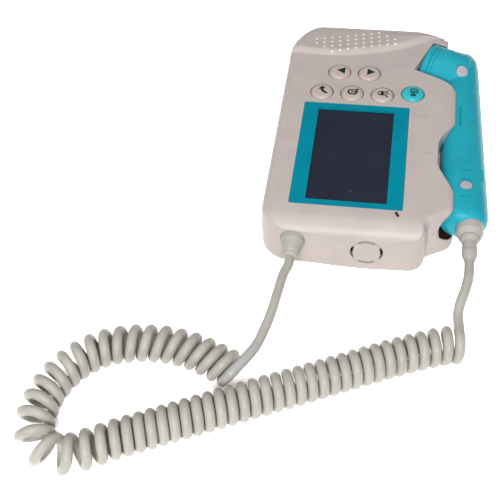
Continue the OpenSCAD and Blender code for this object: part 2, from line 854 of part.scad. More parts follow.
module probe_solid(skin) {
    head_barrel(skin);
    difference() {
        handle_loft(skin);
        on_head(-head_d)
            cylinder(h = head_d + cap_l + ring_l + (skin > 0 ? -over : 0), r = 2 * head_r, $fn = 48);
    }
}

// Columns round the two screws, as tall as the shells
module probe_columns(r) {
    for (p = PROBE_SCREWS)
        translate([p[0], p[1], z_probe - handle_r + probe_wall / 2])
            cylinder(h = handle_t - probe_wall, r = r, $fn = 32);
}

module probe_half(up) {
    difference() {
        union() {
            difference() {
                probe_solid(0);
                probe_solid(probe_wall);
            }
            probe_columns(3.9);
        }
        translate([x_left, y_foot, up ? z_probe - case_h : z_probe])
            cube([2 * case_w, case_l + head_d, case_h]);
        toward_foot(boot_x, handle_foot + 2 * probe_wall + over, z_probe, collar_r - 1, 4 * probe_wall);
        toward_foot(boot_x, handle_foot + probe_wall, z_probe, collar_r + fit, 4 * probe_wall);
    }
}

z_screw_seat = z_probe + 3;
module probe_front_shell() {
    color([0.16, 0.6, 0.67])
        difference() {
            probe_half(true);
            for (p = PROBE_SCREWS)
                translate([p[0], p[1], 0]) {
                    translate([0, 0, z_screw_seat])
                        cylinder(h = case_h, r = cap_d / 2 + fit, $fn = 32);
                    translate([0, 0, z_probe - over])
                        cylinder(h = case_h, r = screw_r + fit, $fn = 24);
                }
            probe_details();
        }
}

// Slots, ribs and the bare label recess in the handle's top
module probe_details() {
    top = z_probe + handle_r;
    deep = 0.6;
    translate([handle_left + 7.4, 25, top - 1.4])
        cube([0.9, 14, 4]);
    translate([handle_left + 9.5, 11, top - deep + 0.2])
        rotate([0, 0, 3])
            rounded_plate(5, 20, 4, 0.6);
    translate([handle_left + 10.4, -32, top - deep])
        cube([1.6, 11, 4]);
    for (y = [-5, -10.6, -15.6, -21.2])
        translate([handle_left + 4, y, top - deep])
            cube([handle_w, 0.6, 4]);
    translate([handle_left + 18.3, -9, top - 3.4])
        cube([handle_w, 8, 4]);
}

module probe_rear_shell() {
    color([0.15, 0.57, 0.64])
        difference() {
            probe_half(false);
            for (p = PROBE_SCREWS)
                translate([p[0], p[1], z_probe - handle_r + probe_wall + 1])
                    cylinder(h = case_h, r = screw_r + thread_gap, $fn = 24);
        }
}

module transducer_ring() {
    color([0.16, 0.6, 0.67])
        on_head(cap_l)
            rotate_extrude($fn = 96)
                polygon([[head_r - 4, 0], [head_r - 0.7, 0], [head_r - 0.1, 0.5], [head_r - 0.1, ring_l - 0.5],
                    [head_r - 0.7, ring_l], [head_r - 4, ring_l]]);
}

module transducer_cap() {
    color([0.18, 0.64, 0.7])
        on_head(0)
            rotate_extrude($fn = 96)
                polygon(concat([[head_r - 2.2, 0]],
                    arc_points([head_r - 1.6, 1.6], 1.6, -90, 0, 5),
                    [[head_r, cap_l - 0.5], [head_r - 0.5, cap_l], [head_r - 4, cap_l], [head_r - 4, 1.6], [head_r - 2.2, 1.6]]));
}

module transducer_face() {
    color([0.86, 0.85, 0.8])
        on_head(0)
            translate([0, 0, 0.3])
                cylinder(h = 1.3, r = head_r - 2.2 - fit, $fn = 64);
}

module piezo_disc() {
    color([0.75, 0.65, 0.4])
        on_head(1.6) {
            cylinder(h = 1.6, r = head_r - 4 - fit, $fn = 64);
            translate([0, 0, 1.6])
                cylinder(h = 2.4, r = head_r - 5, $fn = 48);
        }
}

probe_board_w = 9;
probe_board_foot = handle_foot + 11;
probe_board_top = 56;
module probe_board() {
    color([0.1, 0.36, 0.2])
        difference() {
            translate([handle_left + 5.2, probe_board_foot, z_probe - 0.6])
                cube([probe_board_w, probe_board_top - probe_board_foot, 1.2]);
            probe_columns(3.9 + fit);
        }
}

module probe_screws() {
    color([0.7, 0.7, 0.72])
        for (p = PROBE_SCREWS)
            translate([p[0], p[1], 0]) {
                translate([0, 0, z_screw_seat])
                    cylinder(h = 1.6, r = 2.4, $fn = 32);
                translate([0, 0, z_probe - handle_r + probe_wall + 1.6])
                    cylinder(h = z_screw_seat - z_probe + handle_r - probe_wall, r = screw_r, $fn = 24);
            }
}

// Pale caps that close the two screw wells
module probe_screw_caps() {
    color([0.72, 0.73, 0.74])
        for (i = [0, 1]) {
            p = PROBE_SCREWS[i];
            translate([p[0], p[1], z_screw_seat + 1.6])
                cylinder(h = z_probe + handle_half(p[1]) - z_screw_seat - 1.6 - 0.5, r = cap_d / 2, $fn = 32);
        }
}

// Pale collar in the probe's cord end
module probe_collar() {
    inside = probe_wall;
    color([0.83, 0.81, 0.78])
        turned_foot(boot_x, handle_foot + inside, z_probe, [[boot_r + fit, 0], [collar_r, 0], [collar_r, inside + collar_out],
            [boot_r + 0.5, inside + collar_out + 2.6], [boot_r + fit, inside + collar_out + 2.6]]);
}

module probe_boot() {
    boot_in = handle_foot + probe_wall - boot_y0;
    color([0.72, 0.71, 0.68])
        turned_foot(boot_x, handle_foot + probe_wall, z_probe, [[0, -1.2], [collar_r - 1 - fit, -1.2], [collar_r - 1 - fit, 0],
            [boot_r, 0], [boot_r, boot_in + 0.4], [boot_r - 1, boot_in + 2.6], [boot_tip_r + 0.15, boot_in + boot_l - 5.6],
            [boot_tip_r + 0.45, boot_in + boot_l - 5], [boot_tip_r + 0.3, boot_in + boot_l - 3.6],
            [cord_d / 2 + 0.2, boot_in + boot_l], [0, boot_in + boot_l]]);
}

// Cord
// Point on a Catmull-Rom curve through the route at parameter t, counted in route points
function spline(route, t) =
    let (
        n = len(route),
        i = min(n - 2, max(0, floor(t))),
        f = t - i,
        p0 = route[max(0, i - 1)],
        p1 = route[i],
        p2 = route[i + 1],
        p3 = route[min(n - 1, i + 2)])
    0.5 * ((2 * p1) + (p2 - p0) * f + (2 * p0 - 5 * p1 + 4 * p2 - p3) * f * f + (3 * p1 - p0 - 3 * p2 + p3) * f * f * f);

// Tube through points, with the given number of sides and flat ends square to its ends
module tube(path, d, sides) {
    n = len(path);
    dirs = [for (i = [0:n - 1]) unit(path[min(n - 1, i + 1)] - path[max(0, i - 1)])];
    rings = tube_frames(dirs);
    points = [for (i = [0:n - 1]) for (k = [0:sides - 1])
        let (a = 360 * (k + 0.5) / sides, u = rings[i], v = cross(dirs[i], u))
        path[i] + d / 2 * (cos(a) * u + sin(a) * v)];
    walls = [for (i = [0:n - 2]) for (k = [0:sides - 1])
        let (a = i * sides + k, b = i * sides + (k + 1) % sides)
        each [[a, a + sides, b + sides], [a, b + sides, b]]];
    polyhedron(points, concat([[for (k = [0:sides - 1]) k]], walls, [[for (k = [sides - 1:-1:0]) (n - 1) * sides + k]]));
}

// Tube with a bore, along a stretch of a longer path that starts at index first
module hollow_tube(part, whole, first, d, bore, sides) {
    n = len(part);
    last = len(whole) - 1;
    dirs = [for (i = [0:last]) unit(whole[min(last, i + 1)] - whole[max(0, i - 1)])];
    rings = tube_frames(dirs);
    points = [for (r = [d / 2, bore / 2]) for (i = [0:n - 1]) for (k = [0:sides - 1])
        let (a = 360 * (k + 0.5) / sides, u = rings[first + i], v = cross(dirs[first + i], u))
        part[i] + r * (cos(a) * u + sin(a) * v)];
    m = n * sides;
    walls = [for (i = [0:n - 2]) for (k = [0:sides - 1])
        let (a = i * sides + k, b = i * sides + (k + 1) % sides)
        each [[a, a + sides, b + sides], [a, b + sides, b], [m + a, m + b + sides, m + a + sides], [m + a, m + b, m + b + sides]]];
    ends = [for (k = [0:sides - 1])
        let (a = k, b = (k + 1) % sides, c = (n - 1) * sides + k, e = (n - 1) * sides + (k + 1) % sides)
        each [[a, b, m + b], [a, m + b, m + a], [c, m + c, m + e], [c, m + e, e]]];
    polyhedron(points, concat(walls, ends));
}

// Ring directions carried along without twist
function carried(u, d) = unit(u - d * (u * d));
function tube_frames(dirs) = [for (i = 0, u = carried([0, 0, 1], dirs[0]); i < len(dirs);
    i = i + 1, u = i < len(dirs) ? carried(u, dirs[i]) : u) u];

// Axis of the coil on the table, [x, y, turns so far, lean of the curls along the axis]
COIL_ROUTE = [
    [-38.5, -113.6, 0, -2.2], [-47, -109.8, 1.65, -2.2], [-58, -105.7, 3.65, -2], [-70, -103.6, 5.65, -1.5],
    [-82, -104.2, 7.65, -0.8], [-93, -107, 9.55, 0], [-102.5, -112.6, 11.4, 0], [-110, -121, 13.25, 0],
    [-114.6, -130.5, 14.9, 0], [-116.3, -138.5, 16.15, 0], [-116.3, -146, 17.15, 0], [-114.4, -153, 17.95, 0],
    [-109.3, -158.1, 18.75, 0], [-102.3, -160, 19.55, 0], [-95.5, -158.2, 20.4, 0], [-80, -150, 23.3, 0],
    [-54, -137.6, 29.23, 0], [-28, -125.2, 35.16, 0], [-2, -112.8, 41.09, 0], [24, -100.4, 47.02, 0],
    [31, -97.2, 48.54, 0], [38, -94.2, 50.04, 0], [43.5, -92, 51.16, 0], [48.6, -90.4, 52.15, 0],
    [53.5, -89.2, 53.125, 0]];
coil_r = (coil_d - cord_d) / 2;
coil_z = coil_d / 2;
coil_turns = COIL_ROUTE[len(COIL_ROUTE) - 1][2];
coil_start = 67.5;

// Route parameter at which the coil has made q turns, found by halving
function route_at(q, lo, hi, depth) =
    depth == 0 ? (lo + hi) / 2 :
    let (mid = (lo + hi) / 2)
    spline(COIL_ROUTE, mid)[2] < q ? route_at(q, mid, hi, depth - 1) : route_at(q, lo, mid, depth - 1);

// Centre of the cord after q turns
function coil_point(q) =
    let (
        t = route_at(q, 0, len(COIL_ROUTE) - 1, 14),
        c = spline(COIL_ROUTE, t),
        d = spline(COIL_ROUTE, t + 0.02) - spline(COIL_ROUTE, t - 0.02),
        along = unit([d[0], d[1]]) * c[3] * sin(coil_start + 360 * q),
        side = unit([d[1], -d[0]]) * coil_r * cos(coil_start + 360 * q))
    [c[0] + side[0] + along[0], c[1] + side[1] + along[1], coil_z + coil_r * sin(coil_start + 360 * q)];

coil_helix = [for (i = [0:round(coil_turns * coil_rings)]) coil_point(coil_turns * i / round(coil_turns * coil_rings))];
coil_in = coil_helix[0] + cord_d * unit(coil_helix[0] - coil_helix[1]);
coil_out = coil_helix[len(coil_helix) - 1] + cord_d * unit(coil_helix[len(coil_helix) - 1] - coil_helix[len(coil_helix) - 2]);
coil_path = concat([coil_in], coil_helix, [coil_out]);

// Routes of the two straight stretches, from the strain reliefs to the coil
CASE_LEAD_POINTS = [[-24, -68, 18], [-25.2, -78, 17.7], [-26.6, -88, 16.7], [-28.8, -97.2, 15.2]];
PROBE_LEAD_POINTS = [[55.8, -62, 18.2], [54.4, -68.4, 17.4], [52.6, -74.2, 15.7]];
case_lead_start = [gland_x, gland_tip_y, z_gland];
probe_lead_start = [boot_x, boot_tip_y, z_probe];
case_lead_route = concat([case_lead_start, case_lead_start - [0, cord_d, 0]], CASE_LEAD_POINTS,
    [coil_in + cord_d * unit(coil_in - coil_helix[0]), coil_in]);
probe_lead_route = concat([probe_lead_start, probe_lead_start - [0, cord_d, 0]], PROBE_LEAD_POINTS,
    [coil_out + cord_d * unit(coil_out - coil_helix[len(coil_helix) - 1]), coil_out]);
lead_step_rings = 4;
function lead_path(route) =
    let (n = len(route))
    concat([route[0]], [for (i = [lead_step_rings:(n - 2) * lead_step_rings]) spline(route, i / lead_step_rings)], [route[n - 1]]);

// Least gap between neighbouring turns of the coil, measured from each ring to the next turn's axis line
function to_segment(p, a, b) =
    let (t = min(1, max(0, (p - a) * (b - a) / ((b - a) * (b - a)))))
    norm(p - a - t * (b - a));
coil_gap = min([for (i = [0:len(coil_helix) - 1]) for (k = [-3:2])
    let (j = i + coil_rings + k)
    j + 1 < len(coil_helix) ? to_segment(coil_helix[i], coil_helix[j], coil_helix[j + 1]) - cord_d : case_l]);
echo(coil_gap = coil_gap);

module cord_coil() {
    color([0.78, 0.76, 0.69])
        tube(coil_path, cord_d, coil_sides);
}

module cord_case_lead() {
    color([0.78, 0.76, 0.69])
        tube(lead_path(case_lead_route), cord_d, lead_sides);
}

module cord_probe_lead() {
    color([0.78, 0.76, 0.69])
        tube(lead_path(probe_lead_route), cord_d, lead_sides);
}

// Clear film sleeve over the case lead's splice, near the coil
sleeve_d = 5.4;
sleeve_from = 16;
sleeve_to = 22;
module splice_sleeve() {
    path = lead_path(case_lead_route);
    color([0.75, 0.8, 0.85, 0.5])
        hollow_tube([for (i = [sleeve_from:sleeve_to]) path[i]], path, sleeve_from, sleeve_d, cord_d + 2 * fit, lead_sides);
}

front_housing();
rear_housing();
battery_door();
battery_pack();
battery_contacts();
display_bezel();
display_window();
lcd_module();
main_board();
board_screws();
speaker();
keypad_membrane();
key_left();
key_right();
key_back();
key_record();
key_light();
key_power();
indicator_lens();
grille_cloth();
port_plug();
cord_gland();
case_screws();
probe_front_shell();
probe_rear_shell();
transducer_ring();
transducer_cap();
transducer_face();
piezo_disc();
probe_board();
probe_screws();
probe_screw_caps();
probe_collar();
probe_boot();
cord_case_lead();
cord_coil();
cord_probe_lead();
splice_sleeve();
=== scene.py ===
"""Fetal doppler on a white table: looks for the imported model. Metres, in the model's own frame."""

import math

import bmesh
import bpy
from mathutils import Matrix, Vector


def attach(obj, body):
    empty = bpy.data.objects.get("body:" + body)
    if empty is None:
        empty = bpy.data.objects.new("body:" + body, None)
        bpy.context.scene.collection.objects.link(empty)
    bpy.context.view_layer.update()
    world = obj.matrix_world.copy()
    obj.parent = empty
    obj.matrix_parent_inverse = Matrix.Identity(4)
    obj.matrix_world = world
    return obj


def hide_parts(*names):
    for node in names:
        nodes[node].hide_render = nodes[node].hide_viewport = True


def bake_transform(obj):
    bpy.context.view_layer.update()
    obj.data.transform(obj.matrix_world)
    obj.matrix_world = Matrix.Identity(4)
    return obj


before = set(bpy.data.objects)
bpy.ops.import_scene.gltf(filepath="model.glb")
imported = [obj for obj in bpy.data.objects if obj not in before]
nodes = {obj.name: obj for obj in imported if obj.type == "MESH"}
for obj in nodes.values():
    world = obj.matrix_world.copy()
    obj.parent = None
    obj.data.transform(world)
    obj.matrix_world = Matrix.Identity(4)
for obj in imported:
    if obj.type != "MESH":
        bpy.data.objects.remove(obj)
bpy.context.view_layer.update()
scene = bpy.context.scene

MM = 0.001
# Points of a CAD node nearer than this, in mm, are one point
JOIN_GAP = 0.004
# Angles in degrees below which the edges of the case and of the probe are smoothed, and how strongly the
# larger faces lead the shading
CASE_ANGLE = 32
PROBE_ANGLE = 38
LARGE_FACE_WEIGHT = 70


# Helpers

def srgb(hex_code):
    """An sRGB hex value as linear red, green, blue and alpha."""
    channels = [int(hex_code[i:i + 2], 16) / 255 for i in (0, 2, 4)]
    linear = [c / 12.92 if c <= 0.04045 else ((c + 0.055) / 1.055) ** 2.4 for c in channels]
    return (*linear, 1.0)


def add_node(tree, kind, settings=None, links=None):
    """Adds a node. settings maps a property or an input to its value, links an input to an output."""
    node = tree.nodes.new(kind)
    for name, value in (settings or {}).items():
        if isinstance(name, str) and name not in node.inputs:
            setattr(node, name, value)
    for name, value in (settings or {}).items():
        if isinstance(name, int) or name in node.inputs:
            node.inputs[name].default_value = value
    for name, output in (links or {}).items():
        tree.links.new(output, node.inputs[name])
    return node


def new_piece(name, mesh, body, material, replaced=()):
    """Puts a finished mesh in the scene as a piece that rides on a body; with no body, it is left loose."""
    piece = bpy.data.objects.new(name, mesh)
    scene.collection.objects.link(piece)
    mesh.materials.clear()
    mesh.materials.append(material)
    if body:
        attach(piece, body)
    if replaced:
        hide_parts(*replaced)
    return piece


def merged_copy(node, name):
    """A copy of a CAD node's mesh with its loose triangles joined."""
    mesh = nodes[node].data.copy()
    mesh.name = name
    shape = bmesh.new()
    shape.from_mesh(mesh)
    bmesh.ops.remove_doubles(shape, verts=shape.verts, dist=JOIN_GAP * MM)
    bmesh.ops.dissolve_degenerate(shape, edges=shape.edges, dist=JOIN_GAP / 2 * MM)
    shape.to_mesh(mesh)
    shape.free()
    return mesh


def smooth_by_angle(mesh, degrees):
    """Smooth shading that keeps edges sharper than the angle."""
    mesh.polygons.foreach_set("use_smooth", [True] * len(mesh.polygons))
    mesh.set_sharp_from_angle(angle=math.radians(degrees))


def closed_mesh(shape, name, degrees=None):
    """The mesh of a finished bmesh, its normals outwards; an angle smooths the edges below it."""
    bmesh.ops.recalc_face_normals(shape, faces=shape.faces)
    mesh = bpy.data.meshes.new(name)
    shape.to_mesh(mesh)
    shape.free()
    if degrees:
        smooth_by_angle(mesh, degrees)
    return mesh


def points_mesh(points, name, edges=()):
    """A mesh of bare points, or of the edges between them."""
    mesh = bpy.data.meshes.new(name)
    mesh.from_pydata([tuple(p) for p in points], list(edges), [])
    return mesh


def refined(node, name, body, material, degrees):
    """A CAD node's own shape as one joined mesh with even shading across its rounded edges."""
    mesh = merged_copy(node, name)
    if "custom_normal" in mesh.attributes:
        mesh.attributes.remove(mesh.attributes["custom_normal"])
    smooth_by_angle(mesh, degrees)
    piece = new_piece(name, mesh, body, material, (node,))
    evened = piece.modifiers.new("even_shading", "WEIGHTED_NORMAL")
    evened.keep_sharp = True
    evened.weight = LARGE_FACE_WEIGHT
    return piece


def finish(material, *names):
    """Gives CAD nodes that stay as they are their material."""
    for name in names:
        mesh = nodes[name].data
        if len(mesh.materials):
            for i in range(len(mesh.materials)):
                mesh.materials[i] = material
        else:
            mesh.materials.append(material)


# Camera and stage

# The camera fitted to the photograph: its place in mm, its turns in radians, its focal length and the
# picture's width in pixels, the sensor's width in mm, and the nearest and furthest that it sees in metres
CAMERA_PLACE = (17.888, -328.411, 355.583)
CAMERA_TURNS = [(-0.0834, "Z"), (-0.1336, "Y"), (-0.68, "X")]
FOCAL_PX = 976.18
PICTURE_PX = 500
SENSOR_WIDTH = 36
CAMERA_SIGHT = (0.01, 20)
# The table: its half width in metres, its drop under the object in mm, its tone for the light that it throws
# back, how bright it is to the camera, and the gap in mm that light passes under a piece that rests on it
TABLE_REACH = 3.0
TABLE_DROP = 0.2
TABLE_TONE = "B0B0B0"
TABLE_BRIGHT = 3.4
TABLE_GAP = 2
# Strength of the walls as light and as seen, and each lamp's place, target, width in metres and watts
WALL_FILL = 0.31
WALL_SEEN = 1.0
LAMPS = {"soft_box_above": ((-0.15, 0.0, 0.9), (0.02, 0.0, 0), 0.7, 1.9),
         "soft_box_front": ((0.0, -0.8, 0.6), (0.02, -0.05, 0), 0.4, 7.7)}


def look_from_photo():
    """The camera that the photograph was taken with, fitted to the display and the case."""
    turn = Matrix.Identity(3)
    for angle, axis in CAMERA_TURNS:
        turn = turn @ Matrix.Rotation(angle, 3, axis)
    turn.transpose()
    data = bpy.data.cameras.new("camera")
    data.sensor_width = SENSOR_WIDTH
    data.lens = FOCAL_PX / PICTURE_PX * SENSOR_WIDTH
    data.clip_start, data.clip_end = CAMERA_SIGHT
    camera = bpy.data.objects.new("camera", data)
    scene.collection.objects.link(camera)
    camera.matrix_world = Matrix.Translation(Vector(CAMERA_PLACE) * MM) @ turn.to_4x4()
    scene.camera = camera


def white_table():
    """A white table top, plain white to the camera where it is lit, darker in the deep shade.
    It is clear from below, and lets light up to the faces that rest on it, so that the back shows."""
    material = bpy.data.materials.new("matte_white_table_top")
    material.use_nodes = True
    tree = material.node_tree
    tree.nodes.clear()
    out = add_node(tree, "ShaderNodeOutputMaterial")
    lit = add_node(tree, "ShaderNodeBsdfDiffuse", {"Color": srgb(TABLE_TONE)})
    bright = add_node(tree, "ShaderNodeBsdfDiffuse", {"Color": (*[TABLE_BRIGHT] * 3, 1)})
    rays = add_node(tree, "ShaderNodeLightPath")
    seen = add_node(tree, "ShaderNodeMath", {"operation": "MAXIMUM"},
                    {0: rays.outputs["Is Camera Ray"], 1: rays.outputs["Is Glossy Ray"]})
    seen_through = add_node(tree, "ShaderNodeMath", {"operation": "MAXIMUM"},
                            {0: seen.outputs[0], 1: rays.outputs["Is Transmission Ray"]})
    pick = add_node(tree, "ShaderNodeMixShader", {},
                    {0: seen_through.outputs[0], 1: lit.outputs[0], 2: bright.outputs[0]})
    side = add_node(tree, "ShaderNodeNewGeometry")
    close = add_node(tree, "ShaderNodeMath", {"operation": "LESS_THAN", 1: TABLE_GAP * MM},
                     {0: rays.outputs["Ray Length"]})
    under = add_node(tree, "ShaderNodeMath", {"operation": "MULTIPLY"},
                     {0: close.outputs[0], 1: rays.outputs["Is Diffuse Ray"]})
    open_way = add_node(tree, "ShaderNodeMath", {"operation": "MAXIMUM"},
                        {0: side.outputs["Backfacing"], 1: under.outputs[0]})
    clear = add_node(tree, "ShaderNodeBsdfTransparent")
    one_sided = add_node(tree, "ShaderNodeMixShader", {},
                         {0: open_way.outputs[0], 1: pick.outputs[0], 2: clear.outputs[0]})
    tree.links.new(one_sided.outputs[0], out.inputs["Surface"])
    mesh = bpy.data.meshes.new("table_top")
    mesh.from_pydata([(x * TABLE_REACH, y * TABLE_REACH, 0) for x, y in ((-1, -1), (1, -1), (1, 1), (-1, 1))],
                     [], [(0, 1, 2, 3)])
    mesh.materials.append(material)
    floor = bpy.data.objects.new("table_top", mesh)
    floor.location.z = -TABLE_DROP * MM
    scene.collection.objects.link(floor)


def area_lamp(name, place, target, width, watts):
    """A round soft lamp that looks at its target."""
    data = bpy.data.lights.new(name, "AREA")
    data.shape = "DISK"
    data.size = width
    data.energy = watts
    lamp = bpy.data.objects.new(name, data)
    lamp.location = place
    lamp.rotation_euler = (Vector(target) - Vector(place)).to_track_quat("-Z", "Y").to_euler()
    scene.collection.objects.link(lamp)


def studio_light():
    """White walls all round, a large soft lamp above and a stronger one in front for the foot wall."""
    world = bpy.data.worlds.new("studio")
    scene.world = world
    world.use_nodes = True
    tree = world.node_tree
    tree.nodes.clear()
    fill = add_node(tree, "ShaderNodeBackground", {"Color": (1, 1, 1, 1), "Strength": WALL_FILL})
    white = add_node(tree, "ShaderNodeBackground", {"Color": (1, 1, 1, 1), "Strength": WALL_SEEN})
    rays = add_node(tree, "ShaderNodeLightPath")
    pick = add_node(tree, "ShaderNodeMixShader", {},
                    {0: rays.outputs["Is Camera Ray"], 1: fill.outputs[0], 2: white.outputs[0]})
    out = add_node(tree, "ShaderNodeOutputWorld")
    tree.links.new(pick.outputs[0], out.inputs["Surface"])
    for name, (place, target, width, watts) in LAMPS.items():
        area_lamp(name, place, target, width, watts)
    scene.view_settings.view_transform = "Standard"


# Trees of Geometry Nodes

# Sides of a screw's head and shank, and the length of a bar of its cross as a share of the head's radius
HEAD_SIDES = 40
SHANK_SIDES = 24
BAR_SHARE = 1.25
# Segments and rings of the unit ball that a puff of cloth is made of
PUFF_BALL = {"Segments": 16, "Rings": 8, "Radius": 1.0}


def geometry_tree(name, inputs):
    """An empty tree with one mesh in, one mesh out and the named inputs, each with its socket type."""
    tree = bpy.data.node_groups.new(name, "GeometryNodeTree")
    tree.interface.new_socket(name="Geometry", in_out="INPUT", socket_type="NodeSocketGeometry")
    for title, kind in inputs.items():
        tree.interface.new_socket(name=title, in_out="INPUT", socket_type=kind)
    tree.interface.new_socket(name="Geometry", in_out="OUTPUT", socket_type="NodeSocketGeometry")
    return tree, add_node(tree, "NodeGroupInput").outputs


def close_tree(tree, geometry, material):
    """The end of every tree: real geometry, then its material."""
    real = add_node(tree, "GeometryNodeRealizeInstances", {}, {0: geometry})
    coated = add_node(tree, "GeometryNodeSetMaterial", {},
                      {"Geometry": real.outputs[0], "Material": material})
    add_node(tree, "NodeGroupOutput", {}, {0: coated.outputs[0]})


def grown(tree, mesh, values, name):
    """The plain mesh that a tree makes of a mesh, with its named inputs set to the values."""
    stand = bpy.data.objects.new(name, mesh)
    scene.collection.objects.link(stand)
    modifier = stand.modifiers.new(name, "NODES")
    modifier.node_group = tree
    for item in tree.interface.items_tree:
        if item.in_out == "INPUT" and item.name in values:
            modifier[item.identifier] = values[item.name]
    bpy.context.view_layer.update()
    made = bpy.data.meshes.new_from_object(stand.evaluated_get(bpy.context.evaluated_depsgraph_get()))
    made.name = name
    bpy.data.objects.remove(stand)
    return made


def swept_tube_tree():
    """A round tube swept along the line of a mesh's edges, closed at its ends."""
    tree, given = geometry_tree("swept_tube", {
        "Radius": "NodeSocketFloat", "Sides": "NodeSocketInt", "Closed Ends": "NodeSocketBool",
        "Material": "NodeSocketMaterial"})
    line = add_node(tree, "GeometryNodeMeshToCurve", {}, {"Mesh": given["Geometry"]})
    ring = add_node(tree, "GeometryNodeCurvePrimitiveCircle", {},
                    {"Resolution": given["Sides"], "Radius": given["Radius"]})
    tube = add_node(tree, "GeometryNodeCurveToMesh", {},
                    {"Curve": line.outputs[0], "Profile Curve": ring.outputs[0],
                     "Fill Caps": given["Closed Ends"]})
    even = add_node(tree, "GeometryNodeSetShadeSmooth", {}, {"Geometry": tube.outputs[0]})
    close_tree(tree, even.outputs[0], given["Material"])
    return tree


def cross_screw_tree():
    """A screw with a cross recess on every point of a mesh, its head toward -Z and its shank up."""
    tree, given = geometry_tree("cross_head_screws", {
        "Head Radius": "NodeSocketFloat", "Head Height": "NodeSocketFloat",
        "Shank Radius": "NodeSocketFloat", "Shank Length": "NodeSocketFloat",
        "Recess Width": "NodeSocketFloat", "Recess Depth": "NodeSocketFloat",
        "Material": "NodeSocketMaterial"})
    columns = []
    for radius, length, sides in (("Head Radius", "Head Height", HEAD_SIDES),
                                  ("Shank Radius", "Shank Length", SHANK_SIDES)):
        column = add_node(tree, "GeometryNodeMeshCylinder", {"Vertices": sides},
                          {"Radius": given[radius], "Depth": given[length]})
        half = add_node(tree, "ShaderNodeMath", {"operation": "MULTIPLY", 1: 0.5}, {0: given[length]})
        up = add_node(tree, "ShaderNodeCombineXYZ", {}, {2: half.outputs[0]})
        stood = add_node(tree, "GeometryNodeTransform", {},
                         {"Geometry": column.outputs["Mesh"], "Translation": up.outputs[0]})
        columns.append(stood.outputs[0])
    head, shank = columns
    bar_length = add_node(tree, "ShaderNodeMath", {"operation": "MULTIPLY", 1: BAR_SHARE},
                          {0: given["Head Radius"]})
    bar_height = add_node(tree, "ShaderNodeMath", {"operation": "MULTIPLY", 1: 2},
                          {0: given["Recess Depth"]})
    recessed = add_node(tree, "GeometryNodeMeshBoolean", {"operation": "DIFFERENCE"}, {"Mesh 1": head})
    for across, along in ((0, 1), (1, 0)):
        size = add_node(tree, "ShaderNodeCombineXYZ", {}, {
            across: given["Recess Width"], along: bar_length.outputs[0], 2: bar_height.outputs[0]})
        bar_of_cross = add_node(tree, "GeometryNodeMeshCube", {}, {"Size": size.outputs[0]})
        tree.links.new(bar_of_cross.outputs["Mesh"], recessed.inputs["Mesh 2"])
    screw = add_node(tree, "GeometryNodeJoinGeometry", {}, {0: recessed.outputs[0]})
    tree.links.new(shank, screw.inputs[0])
    placed = add_node(tree, "GeometryNodeInstanceOnPoints", {},
                      {"Points": given["Geometry"], "Instance": screw.outputs[0]})
    close_tree(tree, placed.outputs[0], given["Material"])
    return tree


def cloth_puff_tree():
    """A low puff of cloth on every point of a mesh, round and domed."""
    tree, given = geometry_tree("cloth_puffs", {
        "Radius": "NodeSocketFloat", "Height": "NodeSocketFloat", "Material": "NodeSocketMaterial"})
    ball = add_node(tree, "GeometryNodeMeshUVSphere", PUFF_BALL)
    size = add_node(tree, "ShaderNodeCombineXYZ", {},
                    {0: given["Radius"], 1: given["Radius"], 2: given["Height"]})
    puff = add_node(tree, "GeometryNodeTransform", {},
                    {"Geometry": ball.outputs["Mesh"], "Scale": size.outputs[0]})
    even = add_node(tree, "GeometryNodeSetShadeSmooth", {}, {"Geometry": puff.outputs[0]})
    placed = add_node(tree, "GeometryNodeInstanceOnPoints", {},
                      {"Points": given["Geometry"], "Instance": even.outputs[0]})
    close_tree(tree, placed.outputs[0], given["Material"])
    return tree


# Materials

# The part of a noise's range that counts, for tones and for gloss, and how far gloss strays with it
TONE_BAND = {"From Min": 0.35, "From Max": 0.65}
GLOSS_BAND = {"From Min": 0.3, "From Max": 0.7}
PLASTIC_STRAY = 0.07
METAL_STRAY = 0.1
# How strongly the grain's relief shows, and the gloss of a coat of lacquer
GRAIN_STRENGTH = 0.6
COAT_ROUGHNESS = 0.2
# Half the width in mm over which the edges change to those of a lip
LIP_BLEND = 1
# Metal: size in mm of its patches of tone, and the depth in mm and strength of its streaks
METAL_PATCH = 3
STREAK_DEPTH = 0.01
STREAK_STRENGTH = 0.3
# Window: spacing in mm of its specks of dust, the distances over which one fades and how much it shows, the
# size in mm of its patches of tone and of haze, and the gloss that the haze gives
DUST_GAP = 11
DUST_FADE = {"From Min": 0.05, "From Max": 0.022, "To Min": 0.0, "To Max": 0.5}
WINDOW_PATCH = 25
HAZE_PATCH = 18
HAZE_GLOSS = {"To Min": 0.34, "To Max": 0.46}
# Gauze: distance in mm between its threads, and their depth in mm. A wave turns 20 radians in a unit.
THREAD_GAP = 0.592
THREAD_DEPTH = 0.05
WAVE_TURN = 2 * math.pi / 20
# Film: size of its wrinkles and their depth, in mm
WRINKLE = 2.2
WRINKLE_DEPTH = 0.25


def new_material(name):
    """An empty material with its tree and the place on the object that its patterns follow."""
    material = bpy.data.materials.new(name)
    material.use_nodes = True
    tree = material.node_tree
    tree.nodes.clear()
    place = add_node(tree, "ShaderNodeTexCoord").outputs["Object"]
    return material, tree, place


def two_tones(tree, place, tones, patch_mm):
    """Two close tones that drift into each other over patches of a real size."""
    patches = add_node(tree, "ShaderNodeTexNoise", {"Scale": 1 / (patch_mm * MM), "Detail": 3},
                       {"Vector": place})
    spread = add_node(tree, "ShaderNodeMapRange", TONE_BAND, {0: patches.outputs[0]})
    mix = add_node(tree, "ShaderNodeMix", {"data_type": "RGBA", 6: srgb(tones[0]), 7: srgb(tones[1])},
                   {0: spread.outputs[0]})
    return mix.outputs[2]


